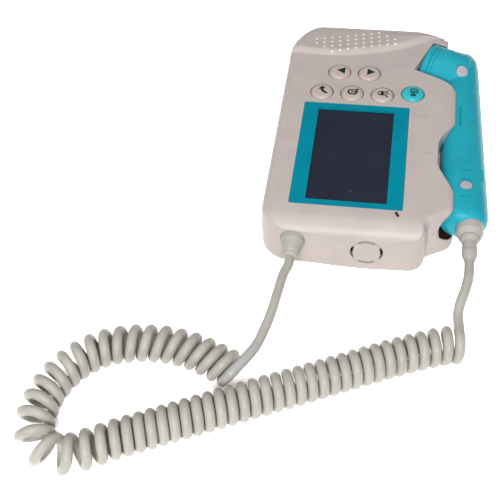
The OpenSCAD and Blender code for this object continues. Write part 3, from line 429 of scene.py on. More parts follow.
def moulded_plastic(name, tones, roughness, grain_mm, height_mm, edge_mm, patch_mm=14, coat=0.0,
                    shine=0.4, lip=None):
    """Injection-moulded plastic: a fine etched grain that breaks up the gloss, a faint drift of tone from
    the flow in the mould, and edges that the tool leaves slightly round. lip gives a place along X in mm
    past which the edges are rounder, and their radius there."""
    material, tree, place = new_material(name)
    grain = add_node(tree, "ShaderNodeTexNoise", {"Scale": 1 / (grain_mm * MM), "Detail": 4},
                     {"Vector": place})
    gloss = add_node(tree, "ShaderNodeMapRange", GLOSS_BAND | {
        "To Min": roughness - PLASTIC_STRAY, "To Max": roughness + PLASTIC_STRAY}, {0: grain.outputs[0]})
    edge = add_node(tree, "ShaderNodeBevel", {"samples": 4, "Radius": edge_mm * MM})
    if lip:
        across = add_node(tree, "ShaderNodeSeparateXYZ", {}, {0: place})
        place_x, lip_mm = lip
        radius = add_node(tree, "ShaderNodeMapRange", {
            "From Min": (place_x - LIP_BLEND) * MM, "From Max": (place_x + LIP_BLEND) * MM,
            "To Min": edge_mm * MM, "To Max": lip_mm * MM}, {0: across.outputs[0]})
        tree.links.new(radius.outputs[0], edge.inputs["Radius"])
    relief = add_node(tree, "ShaderNodeBump", {"Strength": GRAIN_STRENGTH, "Distance": height_mm * MM},
                      {"Height": grain.outputs[0], "Normal": edge.outputs[0]})
    plastic = add_node(tree, "ShaderNodeBsdfPrincipled",
                       {"Specular IOR Level": shine, "Coat Weight": coat, "Coat Roughness": COAT_ROUGHNESS},
                       {"Base Color": two_tones(tree, place, tones, patch_mm), "Roughness": gloss.outputs[0],
                        "Normal": relief.outputs[0]})
    add_node(tree, "ShaderNodeOutputMaterial", {}, {"Surface": plastic.outputs[0]})
    return material


def plated_metal(name, tones, roughness, grit_mm):
    """Plated or rolled metal: fine streaks from rolling or tumbling that blur what it mirrors."""
    material, tree, place = new_material(name)
    drawn = add_node(tree, "ShaderNodeMapping", {"Scale": (1, 0.15, 1)}, {"Vector": place})
    streaks = add_node(tree, "ShaderNodeTexNoise", {"Scale": 1 / (grit_mm * MM), "Detail": 5},
                       {"Vector": drawn.outputs[0]})
    gloss = add_node(tree, "ShaderNodeMapRange", GLOSS_BAND | {
        "To Min": roughness - METAL_STRAY, "To Max": roughness + METAL_STRAY}, {0: streaks.outputs[0]})
    relief = add_node(tree, "ShaderNodeBump", {"Strength": STREAK_STRENGTH, "Distance": STREAK_DEPTH * MM},
                      {"Height": streaks.outputs[0]})
    metal = add_node(tree, "ShaderNodeBsdfPrincipled", {"Metallic": 1.0},
                     {"Base Color": two_tones(tree, place, tones, METAL_PATCH),
                      "Roughness": gloss.outputs[0], "Normal": relief.outputs[0]})
    add_node(tree, "ShaderNodeOutputMaterial", {}, {"Surface": metal.outputs[0]})
    return material


def tinted_window():
    """Smoked acrylic sheet over the panel: smooth and dark blue, with a few specks of dust under it."""
    material, tree, place = new_material("smoked_acrylic_window")
    cells = add_node(tree, "ShaderNodeTexVoronoi", {"Scale": 1 / (DUST_GAP * MM)}, {"Vector": place})
    dust = add_node(tree, "ShaderNodeMapRange", DUST_FADE, {0: cells.outputs["Distance"]})
    tint = two_tones(tree, place, ("1F2434", "242A3B"), WINDOW_PATCH)
    specked = add_node(tree, "ShaderNodeMix", {"data_type": "RGBA", 7: srgb("7A8090")},
                       {0: dust.outputs[0], 6: tint})
    haze = add_node(tree, "ShaderNodeTexNoise", {"Scale": 1 / (HAZE_PATCH * MM)}, {"Vector": place})
    gloss = add_node(tree, "ShaderNodeMapRange", HAZE_GLOSS, {0: haze.outputs[0]})
    sheet = add_node(tree, "ShaderNodeBsdfPrincipled", {"IOR": 1.49, "Specular IOR Level": 0.25},
                     {"Base Color": specked.outputs[2], "Roughness": gloss.outputs[0]})
    add_node(tree, "ShaderNodeOutputMaterial", {}, {"Surface": sheet.outputs[0]})
    return material


def woven_cloth():
    """Woven polyester gauze behind the grille: pale threads with small holes between them. Real threads
    are too fine to show, so they are drawn about twice as coarse."""
    material, tree, place = new_material("woven_polyester_grille_cloth")
    threads = []
    for turn in (0, math.pi / 2):
        laid = add_node(tree, "ShaderNodeMapping", {"Rotation": (0, 0, turn)}, {"Vector": place})
        threads.append(add_node(tree, "ShaderNodeTexWave",
                                {"Scale": WAVE_TURN / (THREAD_GAP * MM), "Distortion": 0.6},
                                {"Vector": laid.outputs[0]}))
    weave = add_node(tree, "ShaderNodeMath", {"operation": "MAXIMUM"},
                     {0: threads[0].outputs["Fac"], 1: threads[1].outputs["Fac"]})
    tone = add_node(tree, "ShaderNodeMix", {"data_type": "RGBA", 6: srgb("EADFD2"), 7: srgb("FFFAF2")},
                    {0: weave.outputs[0]})
    relief = add_node(tree, "ShaderNodeBump", {"Strength": 0.5, "Distance": THREAD_DEPTH * MM},
                      {"Height": weave.outputs[0]})
    cloth = add_node(tree, "ShaderNodeBsdfPrincipled", {"Roughness": 0.85, "Sheen Weight": 0.2},
                     {"Base Color": tone.outputs[2], "Normal": relief.outputs[0]})
    add_node(tree, "ShaderNodeOutputMaterial", {}, {"Surface": cloth.outputs[0]})
    return material


def shrink_film():
    """Clear shrink film: thin, bluish and wrinkled, so that it shows by its small glints."""
    material, tree, place = new_material("clear_shrink_film")
    wrinkles = add_node(tree, "ShaderNodeTexNoise", {"Scale": 1 / (WRINKLE * MM), "Detail": 2},
                        {"Vector": place})
    relief = add_node(tree, "ShaderNodeBump", {"Strength": 0.7, "Distance": WRINKLE_DEPTH * MM},
                      {"Height": wrinkles.outputs[0]})
    film = add_node(tree, "ShaderNodeBsdfPrincipled",
                    {"IOR": 1.45, "Alpha": 0.2, "Base Color": srgb("D2D6DA"), "Roughness": 0.08},
                    {"Normal": relief.outputs[0]})
    add_node(tree, "ShaderNodeOutputMaterial", {}, {"Surface": film.outputs[0]})
    return material


# Cord

# Diameter of the cord in the CAD and of its jacket as the photograph shows it, and the jacket's sides
CORD = 4.2 * MM
JACKET = 4.5 * MM
JACKET_SIDES = 14
# Radius of the coil about its axis, height of the axis, and where the first turn starts, in degrees
COIL_RADIUS = 6.2 * MM
COIL_HEIGHT = 8.3 * MM
COIL_START = 67.5
# Axis of the coil on the table: X and Y in mm, the turns made so far and the lean of the curls in mm
COIL_ROUTE = [
    (-38.5, -113.6, 0, -2.2), (-47, -109.8, 1.65, -2.2), (-58, -105.7, 3.65, -2), (-70, -103.6, 5.65, -1.5),
    (-82, -104.2, 7.65, -0.8), (-93, -107, 9.55, 0), (-102.5, -112.6, 11.4, 0), (-110, -121, 13.25, 0),
    (-114.6, -130.5, 14.9, 0), (-116.3, -138.5, 16.15, 0), (-116.3, -146, 17.15, 0), (-114.4, -153, 17.95, 0),
    (-109.3, -158.1, 18.75, 0), (-102.3, -160, 19.55, 0), (-95.5, -158.2, 20.4, 0), (-80, -150, 23.3, 0),
    (-54, -137.6, 29.23, 0), (-28, -125.2, 35.16, 0), (-2, -112.8, 41.09, 0), (24, -100.4, 47.02, 0),
    (31, -97.2, 48.54, 0), (38, -94.2, 50.04, 0), (43.5, -92, 51.16, 0), (48.6, -90.4, 52.15, 0),
    (53.5, -89.2, 53.125, 0)]
CASE_LEAD_POINTS = [(-24, -68, 18), (-25.2, -78, 17.7), (-26.6, -88, 16.7), (-28.8, -97.2, 15.2)]
PROBE_LEAD_POINTS = [(55.8, -62, 18.2), (54.4, -68.4, 17.4), (52.6, -74.2, 15.7)]
CASE_EXIT = Vector((-22.3, -57.84, 18)) * MM
PROBE_EXIT = Vector((56.232, -52.04, 18.3)) * MM
# Rings in one turn, halvings that find a turn on the route, and half the step that gives its direction
CURL_RINGS = 22
ROUTE_HALVINGS = 22
ROUTE_STEP = 0.02
# Steps along a lead between two of its points, and the even steps of the two drawn leads
LEAD_STEPS = 8
CASE_LEAD_STEP = 1.6 * MM
PROBE_LEAD_STEP = 1.2 * MM
# Stretch about the joint of lead and coil that is smoothed, counted in points, and how often it is
EASED_SPAN = (-8, 5)
EASED_PASSES = 12
# Ends and smoothing of the probe's lead: points kept at each end, and how often the rest is smoothed
PROBE_EASED = (3, 3)
# Film sleeve: the points that it covers, its radius, wall and sides
FILM_SPAN = (-5, 6)
FILM_RADIUS = 2.45 * MM
FILM_WALL = 0.15 * MM
FILM_SIDES = 20


def on_route(route, t):
    """The point at t on a smooth curve through the route, t counted in route points."""
    last = len(route) - 1
    i = min(last - 1, max(0, math.floor(t)))
    f = t - i
    p0, p1, p2, p3 = (Vector(route[k]) for k in (max(0, i - 1), i, i + 1, min(last, i + 2)))
    return 0.5 * (2 * p1 + (p2 - p0) * f + (2 * p0 - 5 * p1 + 4 * p2 - p3) * f * f
                  + (3 * p1 - p0 - 3 * p2 + p3) * f ** 3)


def curl_point(turns):
    """Centre of the coiled cord after a number of turns, in metres."""
    low, high = 0, len(COIL_ROUTE) - 1
    for _ in range(ROUTE_HALVINGS):
        middle = (low + high) / 2
        low, high = (middle, high) if on_route(COIL_ROUTE, middle)[2] < turns else (low, middle)
    t = (low + high) / 2
    centre = on_route(COIL_ROUTE, t)
    ahead = on_route(COIL_ROUTE, t + ROUTE_STEP) - on_route(COIL_ROUTE, t - ROUTE_STEP)
    forward = Vector((ahead.x, ahead.y, 0)).normalized()
    side = Vector((forward.y, -forward.x, 0))
    angle = math.radians(COIL_START + 360 * turns)
    level = Vector((centre.x, centre.y, 0)) * MM + Vector((0, 0, COIL_HEIGHT))
    return (level + forward * centre[3] * MM * math.sin(angle)
            + COIL_RADIUS * (math.cos(angle) * side + math.sin(angle) * Vector((0, 0, 1))))


def lead_points(exit_point, places, coil_end):
    """Points along a lead, from its strain relief to the point one diameter short of the coil."""
    route = [exit_point, exit_point - Vector((0, CORD, 0))] + [Vector(p) * MM for p in places] + coil_end
    inner = range(LEAD_STEPS, (len(route) - 2) * LEAD_STEPS + 1)
    return [route[0]] + [on_route(route, i / LEAD_STEPS) for i in inner] + [route[-1]]


def eased(points, first, last, passes):
    """The line with the stretch between two places smoothed, both places kept."""
    points = [p.copy() for p in points]
    for _ in range(passes):
        points[first:last] = [(points[i - 1] + 2 * points[i] + points[i + 1]) / 4 for i in range(first, last)]
    return points


def even_steps(points, step):
    """The line resampled at even steps, with both ends kept."""
    reach = [0.0]
    for a, b in zip(points, points[1:]):
        reach.append(reach[-1] + (b - a).length)
    count = max(2, round(reach[-1] / step))
    line, k = [], 0
    for i in range(count + 1):
        at = reach[-1] * i / count
        while k < len(points) - 2 and reach[k + 1] < at:
            k += 1
        share = (at - reach[k]) / max(1e-12, reach[k + 1] - reach[k])
        line.append(points[k].lerp(points[k + 1], min(1, share)))
    return line


def line_mesh(points, name):
    """A mesh whose edges run from point to point."""
    return points_mesh(points, name, [(i, i + 1) for i in range(len(points) - 1)])


def coil_ends():
    """For each end of the coil, the points two diameters and one diameter out along the cord."""
    turns = COIL_ROUTE[-1][2]
    ends = []
    for here, inside in ((0, 1 / 8), (turns, turns - 1 / 8)):
        tip = curl_point(here)
        out = (tip - curl_point(inside)).normalized()
        ends.append([tip + 2 * CORD * out, tip + CORD * out])
    return ends


def make_cords(jacket, film):
    """The whole cord: case lead and coil in one, the probe's lead and the film sleeve over the splice."""
    tube = swept_tube_tree()
    turns = COIL_ROUTE[-1][2]
    start, end = coil_ends()
    lead = lead_points(CASE_EXIT, CASE_LEAD_POINTS, start)
    count = round(turns * CURL_RINGS)
    curls = [curl_point(turns * i / count) for i in range(count + 1)]
    whole = even_steps(lead, CASE_LEAD_STEP)
    joint = len(whole)
    whole = eased(whole + curls + [end[1]], joint + EASED_SPAN[0], joint + EASED_SPAN[1], EASED_PASSES)
    mesh = grown(tube, line_mesh(whole, "case_cord_line"),
                 {"Radius": JACKET / 2, "Sides": JACKET_SIDES, "Closed Ends": True, "Material": jacket},
                 "case_cord")
    cord = new_piece("case_cord", mesh, "unit", jacket, ("cord_case_lead", "cord_coil"))

    sleeve_line = whole[joint + FILM_SPAN[0]:joint + FILM_SPAN[1]]
    mesh = grown(tube, line_mesh(sleeve_line, "film_line"),
                 {"Radius": FILM_RADIUS, "Sides": FILM_SIDES, "Closed Ends": False, "Material": film},
                 "splice_film")
    sleeve = new_piece("splice_film", mesh, "unit", film, ("splice_sleeve",))
    wall = sleeve.modifiers.new("film_wall", "SOLIDIFY")
    wall.thickness = FILM_WALL
    wall.offset = -1

    line = even_steps(lead_points(PROBE_EXIT, PROBE_LEAD_POINTS, end), PROBE_LEAD_STEP)
    kept, passes = PROBE_EASED
    line = eased(line, kept, len(line) - kept, passes)
    mesh = grown(tube, line_mesh(line, "probe_cord_line"),
                 {"Radius": JACKET / 2, "Sides": JACKET_SIDES, "Closed Ends": True, "Material": jacket},
                 "probe_cord")
    cord = new_piece("probe_cord", mesh, None, jacket, ("cord_probe_lead",))
    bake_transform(cord)


# Key symbols

# Level of a key's crown at its middle and its fall per mm, in mm
KEY_TOP = 29.2
KEY_CONE = 0.045
# How far a symbol's ink stands over the crown and reaches under it, and where its middle is printed, in mm
INK_OVER = 0.03
INK_UNDER = 0.05
INK_SHIFT = (0.3, 0.0)
# How often a symbol's faces are split, so that it follows the crown, and the size of each symbol
INK_SPLITS = 2
SYMBOL_SCALES = {"key_left": 1.25, "key_right": 1.25, "key_power": 1.2}
OTHER_SYMBOLS = 1.14
# Centre of each key in mm
KEY_PLACES = {"key_left": (-10.6, 57.4), "key_right": (4.4, 57.4), "key_back": (-18.1, 41.8),
              "key_record": (-3.1, 41.8), "key_light": (11.9, 41.8), "key_power": (26.8, 44.1)}


def bar(a, b, width):
    """A straight stroke between two points, as four corners."""
    (ax, ay), (bx, by) = a, b
    reach = math.hypot(bx - ax, by - ay)
    sx, sy = (by - ay) / reach * width / 2, -(bx - ax) / reach * width / 2
    return [(ax - sx, ay - sy), (ax + sx, ay + sy), (bx + sx, by + sy), (bx - sx, by - sy)]


def stroke(points, widths):
    """A curved stroke through points, as four-sided pieces that meet."""
    pairs = []
    for i, (x, y) in enumerate(points):
        (px, py), (qx, qy) = points[max(0, i - 1)], points[min(len(points) - 1, i + 1)]
        reach = math.hypot(qx - px, qy - py)
        sx, sy = (qy - py) / reach * widths[i] / 2, -(qx - px) / reach * widths[i] / 2
        pairs.append(((x - sx, y - sy), (x + sx, y + sy)))
    return [[pairs[i][0], pairs[i][1], pairs[i + 1][1], pairs[i + 1][0]] for i in range(len(pairs) - 1)]


def arc(cx, cy, rx, ry, start, stop, steps):
    """Points of an arc of an ellipse, angles in degrees."""
    angles = [math.radians(start + (stop - start) * i / steps) for i in range(steps + 1)]
    return [(cx + rx * math.cos(a), cy + ry * math.sin(a)) for a in angles]


def symbol_shapes():
    """Each key's printed symbol as flat shapes in mm about the key's centre."""
    tail = [(-0.5, 1.6), (-0.35, 0.5), (0.2, -0.5), (1.1, -1.25), (2.2, -1.6)]
    lid = arc(-0.5, -1.35, 2.4, 2.7, 52, 136, 8)
    underlid = arc(-0.5, 1.75, 2.4, 2.7, -136, -52, 8)
    open_ring = arc(0.2, 1.35, 1.45, 1.0, 110, 430, 12)
    return {
        "key_left": [[(-1.45, 0.15), (1.85, -1.75), (2.05, 2.15)]],
        "key_right": [[(-1.2, -1.85), (-1.05, 2.05), (2.2, 0.15)]],
        "key_back": [[(-2.1, 0.5), (-0.4, 3.0), (1.35, 1.35)]] + stroke(tail, [1.2, 1.25, 1.2, 1.05, 0.8]),
        "key_record": [bar((-1.7, 1.25), (0.9, 1.35), 0.65), bar((-2.05, -0.2), (-1.55, 1.3), 0.75),
                       bar((-2.0, -0.1), (-1.2, -1.4), 0.75), bar((-1.3, -1.3), (1.4, -1.35), 0.8),
                       bar((1.2, -1.5), (1.55, 1.2), 0.85), bar((1.0, 1.15), (2.45, 2.0), 0.85),
                       bar((1.6, -0.6), (2.3, 0.5), 0.6), bar((-0.9, 0.1), (0.6, 0.2), 0.7)],
        "key_light": stroke(lid, [0.6] * 9) + stroke(underlid, [0.6] * 9)
        + [arc(-0.35, 0.2, 0.75, 0.95, 0, 360, 11)[:-1], bar((1.0, 1.0), (2.2, 2.1), 0.6),
           bar((1.15, 0.1), (2.6, 0.15), 0.6), bar((1.0, -0.8), (2.0, -2.0), 0.6)],
        "key_power": stroke(open_ring, [0.7] * 13)
        + [bar((0.2, 1.2), (0.2, 2.7), 0.6), bar((-1.6, -0.15), (2.1, 0.1), 0.65),
           arc(-0.1, -1.5, 1.25, 0.95, 0, 360, 14)[:-1]]}


def printed_symbol(key, shapes, material):
    """A symbol as a thin layer of ink that lies on a key's crown."""
    x, y = KEY_PLACES[key]
    scale = SYMBOL_SCALES.get(key, OTHER_SYMBOLS)
    shape = bmesh.new()
    for outline in shapes:
        area = sum(a[0] * b[1] - b[0] * a[1] for a, b in zip(outline, outline[1:] + outline[:1]))
        corners = [shape.verts.new((scale * p[0] + INK_SHIFT[0], scale * p[1] + INK_SHIFT[1], 0))
                   for p in (outline if area > 0 else outline[::-1])]
        shape.faces.new(corners)
    bmesh.ops.triangulate(shape, faces=shape.faces)
    for _ in range(INK_SPLITS):
        bmesh.ops.subdivide_edges(shape, edges=shape.edges, cuts=1, use_grid_fill=True)
    bmesh.ops.triangulate(shape, faces=shape.faces)
    made = bmesh.ops.extrude_face_region(shape, geom=shape.faces[:])
    upper = {v for v in made["geom"] if isinstance(v, bmesh.types.BMVert)}
    for v in shape.verts:
        crown = KEY_TOP - KEY_CONE * math.hypot(v.co.x, v.co.y)
        v.co = Vector((x + v.co.x, y + v.co.y, crown + (INK_OVER if v in upper else -INK_UNDER))) * MM
    new_piece(key + "_symbol", closed_mesh(shape, key + "_symbol"), key, material)


# Caps, painted shade round the plug and in the bay's foot, screws and cloth

# Height in mm from which a shell's surface is looked for
CAST_HEIGHT = 60
# Screw caps of the probe: centres, level of their feet, radius, and the radius of the rim that they follow
CAP_PLACES = [(50.532, 63), (53.532, -13.8)]
CAP_FOOT = 22.9
CAP_RADIUS = 2.95
CAP_RIM = 3.35
CAP_SIDES = 32
RIM_SIDES = 16
# Radius of each ring of a cap's top and its drop below the rim
CAP_RINGS = [(CAP_RADIUS, 0.55), (CAP_RADIUS - 0.1, 0.36), (CAP_RADIUS - 0.35, 0.25),
             (CAP_RADIUS * 0.6, 0.15), (CAP_RADIUS * 0.3, 0.1)]
# Dark arcs of painted shade in the gaps round the blanking plug: centre in X and Z, the two faces in Y, the
# two radii, and the start and span of each arc in degrees
PLUG_SHADE_CENTRE = (11.2, 14.5)
PLUG_SHADE_FACES = (-46.3, -45.7)
PLUG_SHADE_RADII = (6.25, 7.35)
PLUG_SHADE_START = 59.5
PLUG_SHADE_SPAN = 61
PLUG_SHADE_STEPS = 10
# Dark pad of painted shade in the foot of the bay: its field in X and Y, the levels and the slopes of the
# floor that it covers, the cells of its grid, the highest step in a cell, its lift over the floor and its
# depth
PAD_X = (42.4, 49.2)
PAD_Y = (-36.3, -28.6)
PAD_LEVELS = (8.6, 15.4)
PAD_SLOPES = (0.2, 0.995)
PAD_CELLS = 14
PAD_STEP = 1.6
PAD_LIFT = 0.12
PAD_DEPTH = 0.25
# Angle in degrees below which the edges of the caps, the pad and the screws are smoothed
SMALL_PIECE_ANGLE = 50
SCREW_ANGLE = 40
# Screws of the case: their places, the level of their heads and their sizes
SCREW_PLACES = [(-32.968, -36.24), (32.432, -36.24), (-31.168, 62), (18, 63.4)]
SCREW_LEVEL = 1.9
SCREW_SIZES = {"Head Radius": 2.4, "Head Height": 1.6, "Shank Radius": 1.1, "Shank Length": 19.7,
               "Recess Width": 0.7, "Recess Depth": 0.9}
# Grille: its first hole, the steps to the next column and row, and the first and last row of each column
GRILLE_START = (-24.8, 81.36)
GRILLE_STEP = (4, 1)
GRILLE_ROW = (0.3, -3.7)
GRILLE_SPANS = [(0, 1), (0, 2), (0, 3), (0, 3), (0, 3), (0, 3), (0, 3), (0, 3), (0, 3), (1, 3), (2, 3)]
# Raised end over the speaker: centre and radius of its foot, width and height of its step, level of the face
# round it, slope of its top in degrees, and the depth of a puff's middle under it and the puff's sizes
DOME_CENTRE = (-20, 169)
DOME_FOOT = 100
DOME_STEP = 4.5
DOME_RISE = 2.5
FACE_LEVEL = 27.5
DOME_SLOPE = 4.4
PUFF_DEPTH = 0.55
PUFF_SIZES = {"Radius": 0.88, "Height": 0.62}


def on_circle(radius, sides):
    """Corners of a polygon about the origin."""
    angles = [2 * math.pi * i / sides for i in range(sides)]
    return [(radius * math.cos(a), radius * math.sin(a)) for a in angles]


def surface_below(shell, x, y):
    """The place and normal of a shell's top surface at a place in mm, or nothing."""
    hit, where, normal, _ = shell.ray_cast(Vector((x, y, CAST_HEIGHT)) * MM, Vector((0, 0, -1)))
    return (where, normal) if hit else None


def flush_caps(shell):
    """Round push-in caps whose tops follow the plane through the rim of their wells."""
    shape = bmesh.new()
    for x, y in CAP_PLACES:
        rim = [(px, py, surface_below(shell, x + px, y + py)) for px, py in on_circle(CAP_RIM, RIM_SIDES)]
        rim = [(px, py, found[0].z / MM) for px, py, found in rim if found]
        level = sum(p[2] for p in rim) / len(rim)
        slope = [sum(p[k] * (p[2] - level) for p in rim) / sum(p[k] ** 2 for p in rim) for k in (0, 1)]
        rings = [[(px, py, CAP_FOOT) for px, py in on_circle(CAP_RADIUS, CAP_SIDES)]]
        rings += [[(px, py, level + slope[0] * px + slope[1] * py - drop)
                   for px, py in on_circle(radius, CAP_SIDES)] for radius, drop in CAP_RINGS]
        rings = [[shape.verts.new(Vector((x + px, y + py, z)) * MM) for px, py, z in ring] for ring in rings]
        for low, high in zip(rings, rings[1:]):
            for i in range(CAP_SIDES):
                j = (i + 1) % CAP_SIDES
                shape.faces.new((low[i], low[j], high[j], high[i]))
        shape.faces.new(rings[0][::-1])
        shape.faces.new(rings[-1])
    return closed_mesh(shape, "probe_flush_caps", SMALL_PIECE_ANGLE)


def plug_gap_shade_arcs():
    """Four dark arcs of painted shade between the tabs of the blanking plug."""
    shape = bmesh.new()
    inner, outer = PLUG_SHADE_RADII
    front, back = PLUG_SHADE_FACES
    for quarter in range(4):
        rings = []
        for i in range(PLUG_SHADE_STEPS + 1):
            a = math.radians(90 * quarter + PLUG_SHADE_START + PLUG_SHADE_SPAN * i / PLUG_SHADE_STEPS)
            places = [(PLUG_SHADE_CENTRE[0] + r * math.cos(a), y, PLUG_SHADE_CENTRE[1] + r * math.sin(a))
                      for r, y in ((inner, front), (outer, front), (outer, back), (inner, back))]
            rings.append([shape.verts.new(Vector(place) * MM) for place in places])
        for near, far in zip(rings, rings[1:]):
            for k in range(4):
                shape.faces.new((near[k], near[(k + 1) % 4], far[(k + 1) % 4], far[k]))
        shape.faces.new(rings[0])
        shape.faces.new(rings[-1][::-1])
    return closed_mesh(shape, "plug_gap_shade_arcs")


def bay_foot_shade_pad(shell):
    """A thin dark pad of painted shade that follows the floor of the bay under the foot of the probe."""
    shape = bmesh.new()
    grid = {}
    for i in range(PAD_CELLS + 1):
        for k in range(PAD_CELLS + 1):
            x = PAD_X[0] + (PAD_X[1] - PAD_X[0]) * i / PAD_CELLS
            y = PAD_Y[0] + (PAD_Y[1] - PAD_Y[0]) * k / PAD_CELLS
            found = surface_below(shell, x, y)
            if (found and PAD_LEVELS[0] < found[0].z / MM < PAD_LEVELS[1]
                    and PAD_SLOPES[0] < found[1].z < PAD_SLOPES[1]):
                grid[i, k] = shape.verts.new(found[0] + PAD_LIFT * MM * found[1])
    for i in range(PAD_CELLS):
        for k in range(PAD_CELLS):
            corners = [grid.get(c) for c in ((i, k), (i + 1, k), (i + 1, k + 1), (i, k + 1))]
            if all(corners) and max(c.co.z for c in corners) - min(c.co.z for c in corners) < PAD_STEP * MM:
                shape.faces.new(corners)
    bmesh.ops.delete(shape, geom=[v for v in shape.verts if not v.link_faces], context="VERTS")
    made = bmesh.ops.extrude_face_region(shape, geom=shape.faces[:])
    for part in made["geom"]:
        if isinstance(part, bmesh.types.BMVert):
            part.co.z -= PAD_DEPTH * MM
    return closed_mesh(shape, "bay_foot_shade_pad", SMALL_PIECE_ANGLE)


def grille_places():
    """The middle of the cloth's puff in each grille hole, in metres."""
    for i, (first, last) in enumerate(GRILLE_SPANS):
        for k in range(first, last + 1):
            x = GRILLE_START[0] + GRILLE_STEP[0] * i + GRILLE_ROW[0] * k
            y = GRILLE_START[1] + GRILLE_STEP[1] * i + GRILLE_ROW[1] * k
            reach = math.hypot(x - DOME_CENTRE[0], y - DOME_CENTRE[1])
            step = (DOME_FOOT - reach) / DOME_STEP
            if step < 1:
                top = FACE_LEVEL + DOME_RISE * step * step * (3 - 2 * step)
            else:
                fall = math.tan(math.radians(DOME_SLOPE)) * (DOME_FOOT - DOME_STEP - reach)
                top = FACE_LEVEL + DOME_RISE - fall
            yield x * MM, y * MM, (top - PUFF_DEPTH) * MM


# Making
look_from_photo()
white_table()
studio_light()

# Smooth PVC jacket, slightly waxy, so that each curl has a soft highlight
jacket = moulded_plastic("warm_white_pvc_jacket", ("B6B2A8", "ADA99F"), roughness=0.42, grain_mm=0.5,
                         height_mm=0.004, edge_mm=0.1, patch_mm=9)
make_cords(jacket, shrink_film())

# Fine etched ABS of the front shell: matte, warm grey, with a soft sheen on its rolled edges
front_abs = moulded_plastic("etched_warm_grey_abs", ("C5BAB5", "BEB3AF"), roughness=0.46, grain_mm=0.3,
                            height_mm=0.008, edge_mm=0.1, shine=0.5, lip=(39.5, 0.9))
# The rear shell's ABS, the same grain in a creamier grey; its slightly lighter tone than the front shell is
# painted light for the lit foot wall
rear_abs_painted_lighter = moulded_plastic("etched_cream_grey_abs_painted_lighter", ("CBC0B8", "C4B9B1"), roughness=0.52, grain_mm=0.3,
                           height_mm=0.008, edge_mm=0.35)
# Smooth ABS key caps: a tighter highlight along their lower rims than the case has
key_abs = moulded_plastic("smooth_grey_abs_keys", ("C8B8B1", "C1B1AA"), roughness=0.4, grain_mm=0.25,
                          height_mm=0.003, edge_mm=0.15, patch_mm=5)
# The same cap in teal
teal_key_abs = moulded_plastic("smooth_teal_abs_key", ("35C3CE", "2FBAC7"), roughness=0.36, grain_mm=0.25,
                               height_mm=0.003, edge_mm=0.15, patch_mm=5)
# Screen-printed polycarbonate panel round the display: flat, satin and even
bezel_panel = moulded_plastic("satin_teal_polycarbonate", ("008CA2", "00859B"), roughness=0.45, grain_mm=0.4,
                              height_mm=0.002, edge_mm=0.12, patch_mm=20, shine=0.06)
# Teal ABS of the probe: a little glossier than the case, so its ridges catch the light
probe_abs = moulded_plastic("satin_teal_abs", ("20ABBD", "1CA3B6"), roughness=0.4, grain_mm=0.35,
                            height_mm=0.005, edge_mm=0.1, patch_mm=16, shine=0.22)
# ABS of the probe's collar: pale and even, with soft light along its steps
collar_abs = moulded_plastic("moulded_pale_abs_collar", ("BBB7B1", "B3AFA9"), roughness=0.45, grain_mm=0.3,
                             height_mm=0.004, edge_mm=0.2, patch_mm=8)
# Smooth ABS of the screw caps: cool pale discs that stand out from the teal
cap_abs = moulded_plastic("smooth_grey_abs_plugs", ("B9BABF", "B1B2B8"), roughness=0.4, grain_mm=0.25,
                          height_mm=0.003, edge_mm=0.2, patch_mm=4)
# Soft PVC strain reliefs: duller than the hard parts
relief_pvc = moulded_plastic("soft_grey_pvc_relief", ("B8B5AE", "AFADA6"), roughness=0.6, grain_mm=0.3,
                             height_mm=0.006, edge_mm=0.2, patch_mm=6)
# Smoked acrylic with a polished face: nearly black, with a sharp small highlight
lens = moulded_plastic("smoked_red_acrylic_lens", ("3A1512", "2E100E"), roughness=0.2, grain_mm=0.4,
                       height_mm=0.001, edge_mm=0.1, patch_mm=2, coat=0.5)
# Black polycarbonate: satin, so that the panel stays dark behind its window
panel_frame = moulded_plastic("black_polycarbonate_panel_frame", ("16161A", "1D1D22"), roughness=0.5,
                              grain_mm=0.3, height_mm=0.003, edge_mm=0.1, patch_mm=10)
# Green solder resist on glass laminate: fairly glossy, with the weave's faint waves
board_resist = moulded_plastic("green_solder_resist_on_glass_laminate", ("1C5C35", "186030"), roughness=0.35,
                               grain_mm=0.6, height_mm=0.01, edge_mm=0.1, patch_mm=6)
# PVC wrap shrunk on the battery: a glossy blue skin with slow ripples
pack_wrap = moulded_plastic("blue_pvc_battery_wrap", ("3A4E76", "34476D"), roughness=0.3, grain_mm=1.5,
                            height_mm=0.02, edge_mm=0.4, patch_mm=12)
# Pressed paper cone in a painted frame: dull, fibrous black
speaker_parts = moulded_plastic("black_pressed_paper_and_frame", ("1E1E21", "26262A"), roughness=0.7,
                                grain_mm=0.5, height_mm=0.02, edge_mm=0.1, patch_mm=4)
# Moulded silicone: milky and dull
key_pad = moulded_plastic("translucent_silicone_key_pad", ("DADAD4", "D2D2CC"), roughness=0.6, grain_mm=0.4,
                          height_mm=0.004, edge_mm=0.2, patch_mm=8)
# Cast epoxy over the element: cream, satin and almost without texture
face_epoxy = moulded_plastic("cast_epoxy_acoustic_face", ("DDDACE", "D4D0C4"), roughness=0.5, grain_mm=0.3,
                             height_mm=0.003, edge_mm=0.15, patch_mm=7)
# Pad printing ink: thin and dull, nearly black on the grey keys
ink = moulded_plastic("dark_green_pad_printing_ink", ("04201C", "062621"), roughness=0.55, grain_mm=0.2,
                      height_mm=0.002, edge_mm=0.05, patch_mm=3)
# The same ink on the teal key, where its ground shows through
teal_ink = moulded_plastic("deep_teal_pad_printing_ink", ("06505A", "085862"), roughness=0.5, grain_mm=0.2,
                           height_mm=0.002, edge_mm=0.05, patch_mm=3)
# Rolled brass: yellow, with fine streaks along the strip
contact_brass = plated_metal("rolled_brass_contact_strip", ("C9A65A", "BD994E"), roughness=0.3, grit_mm=0.3)
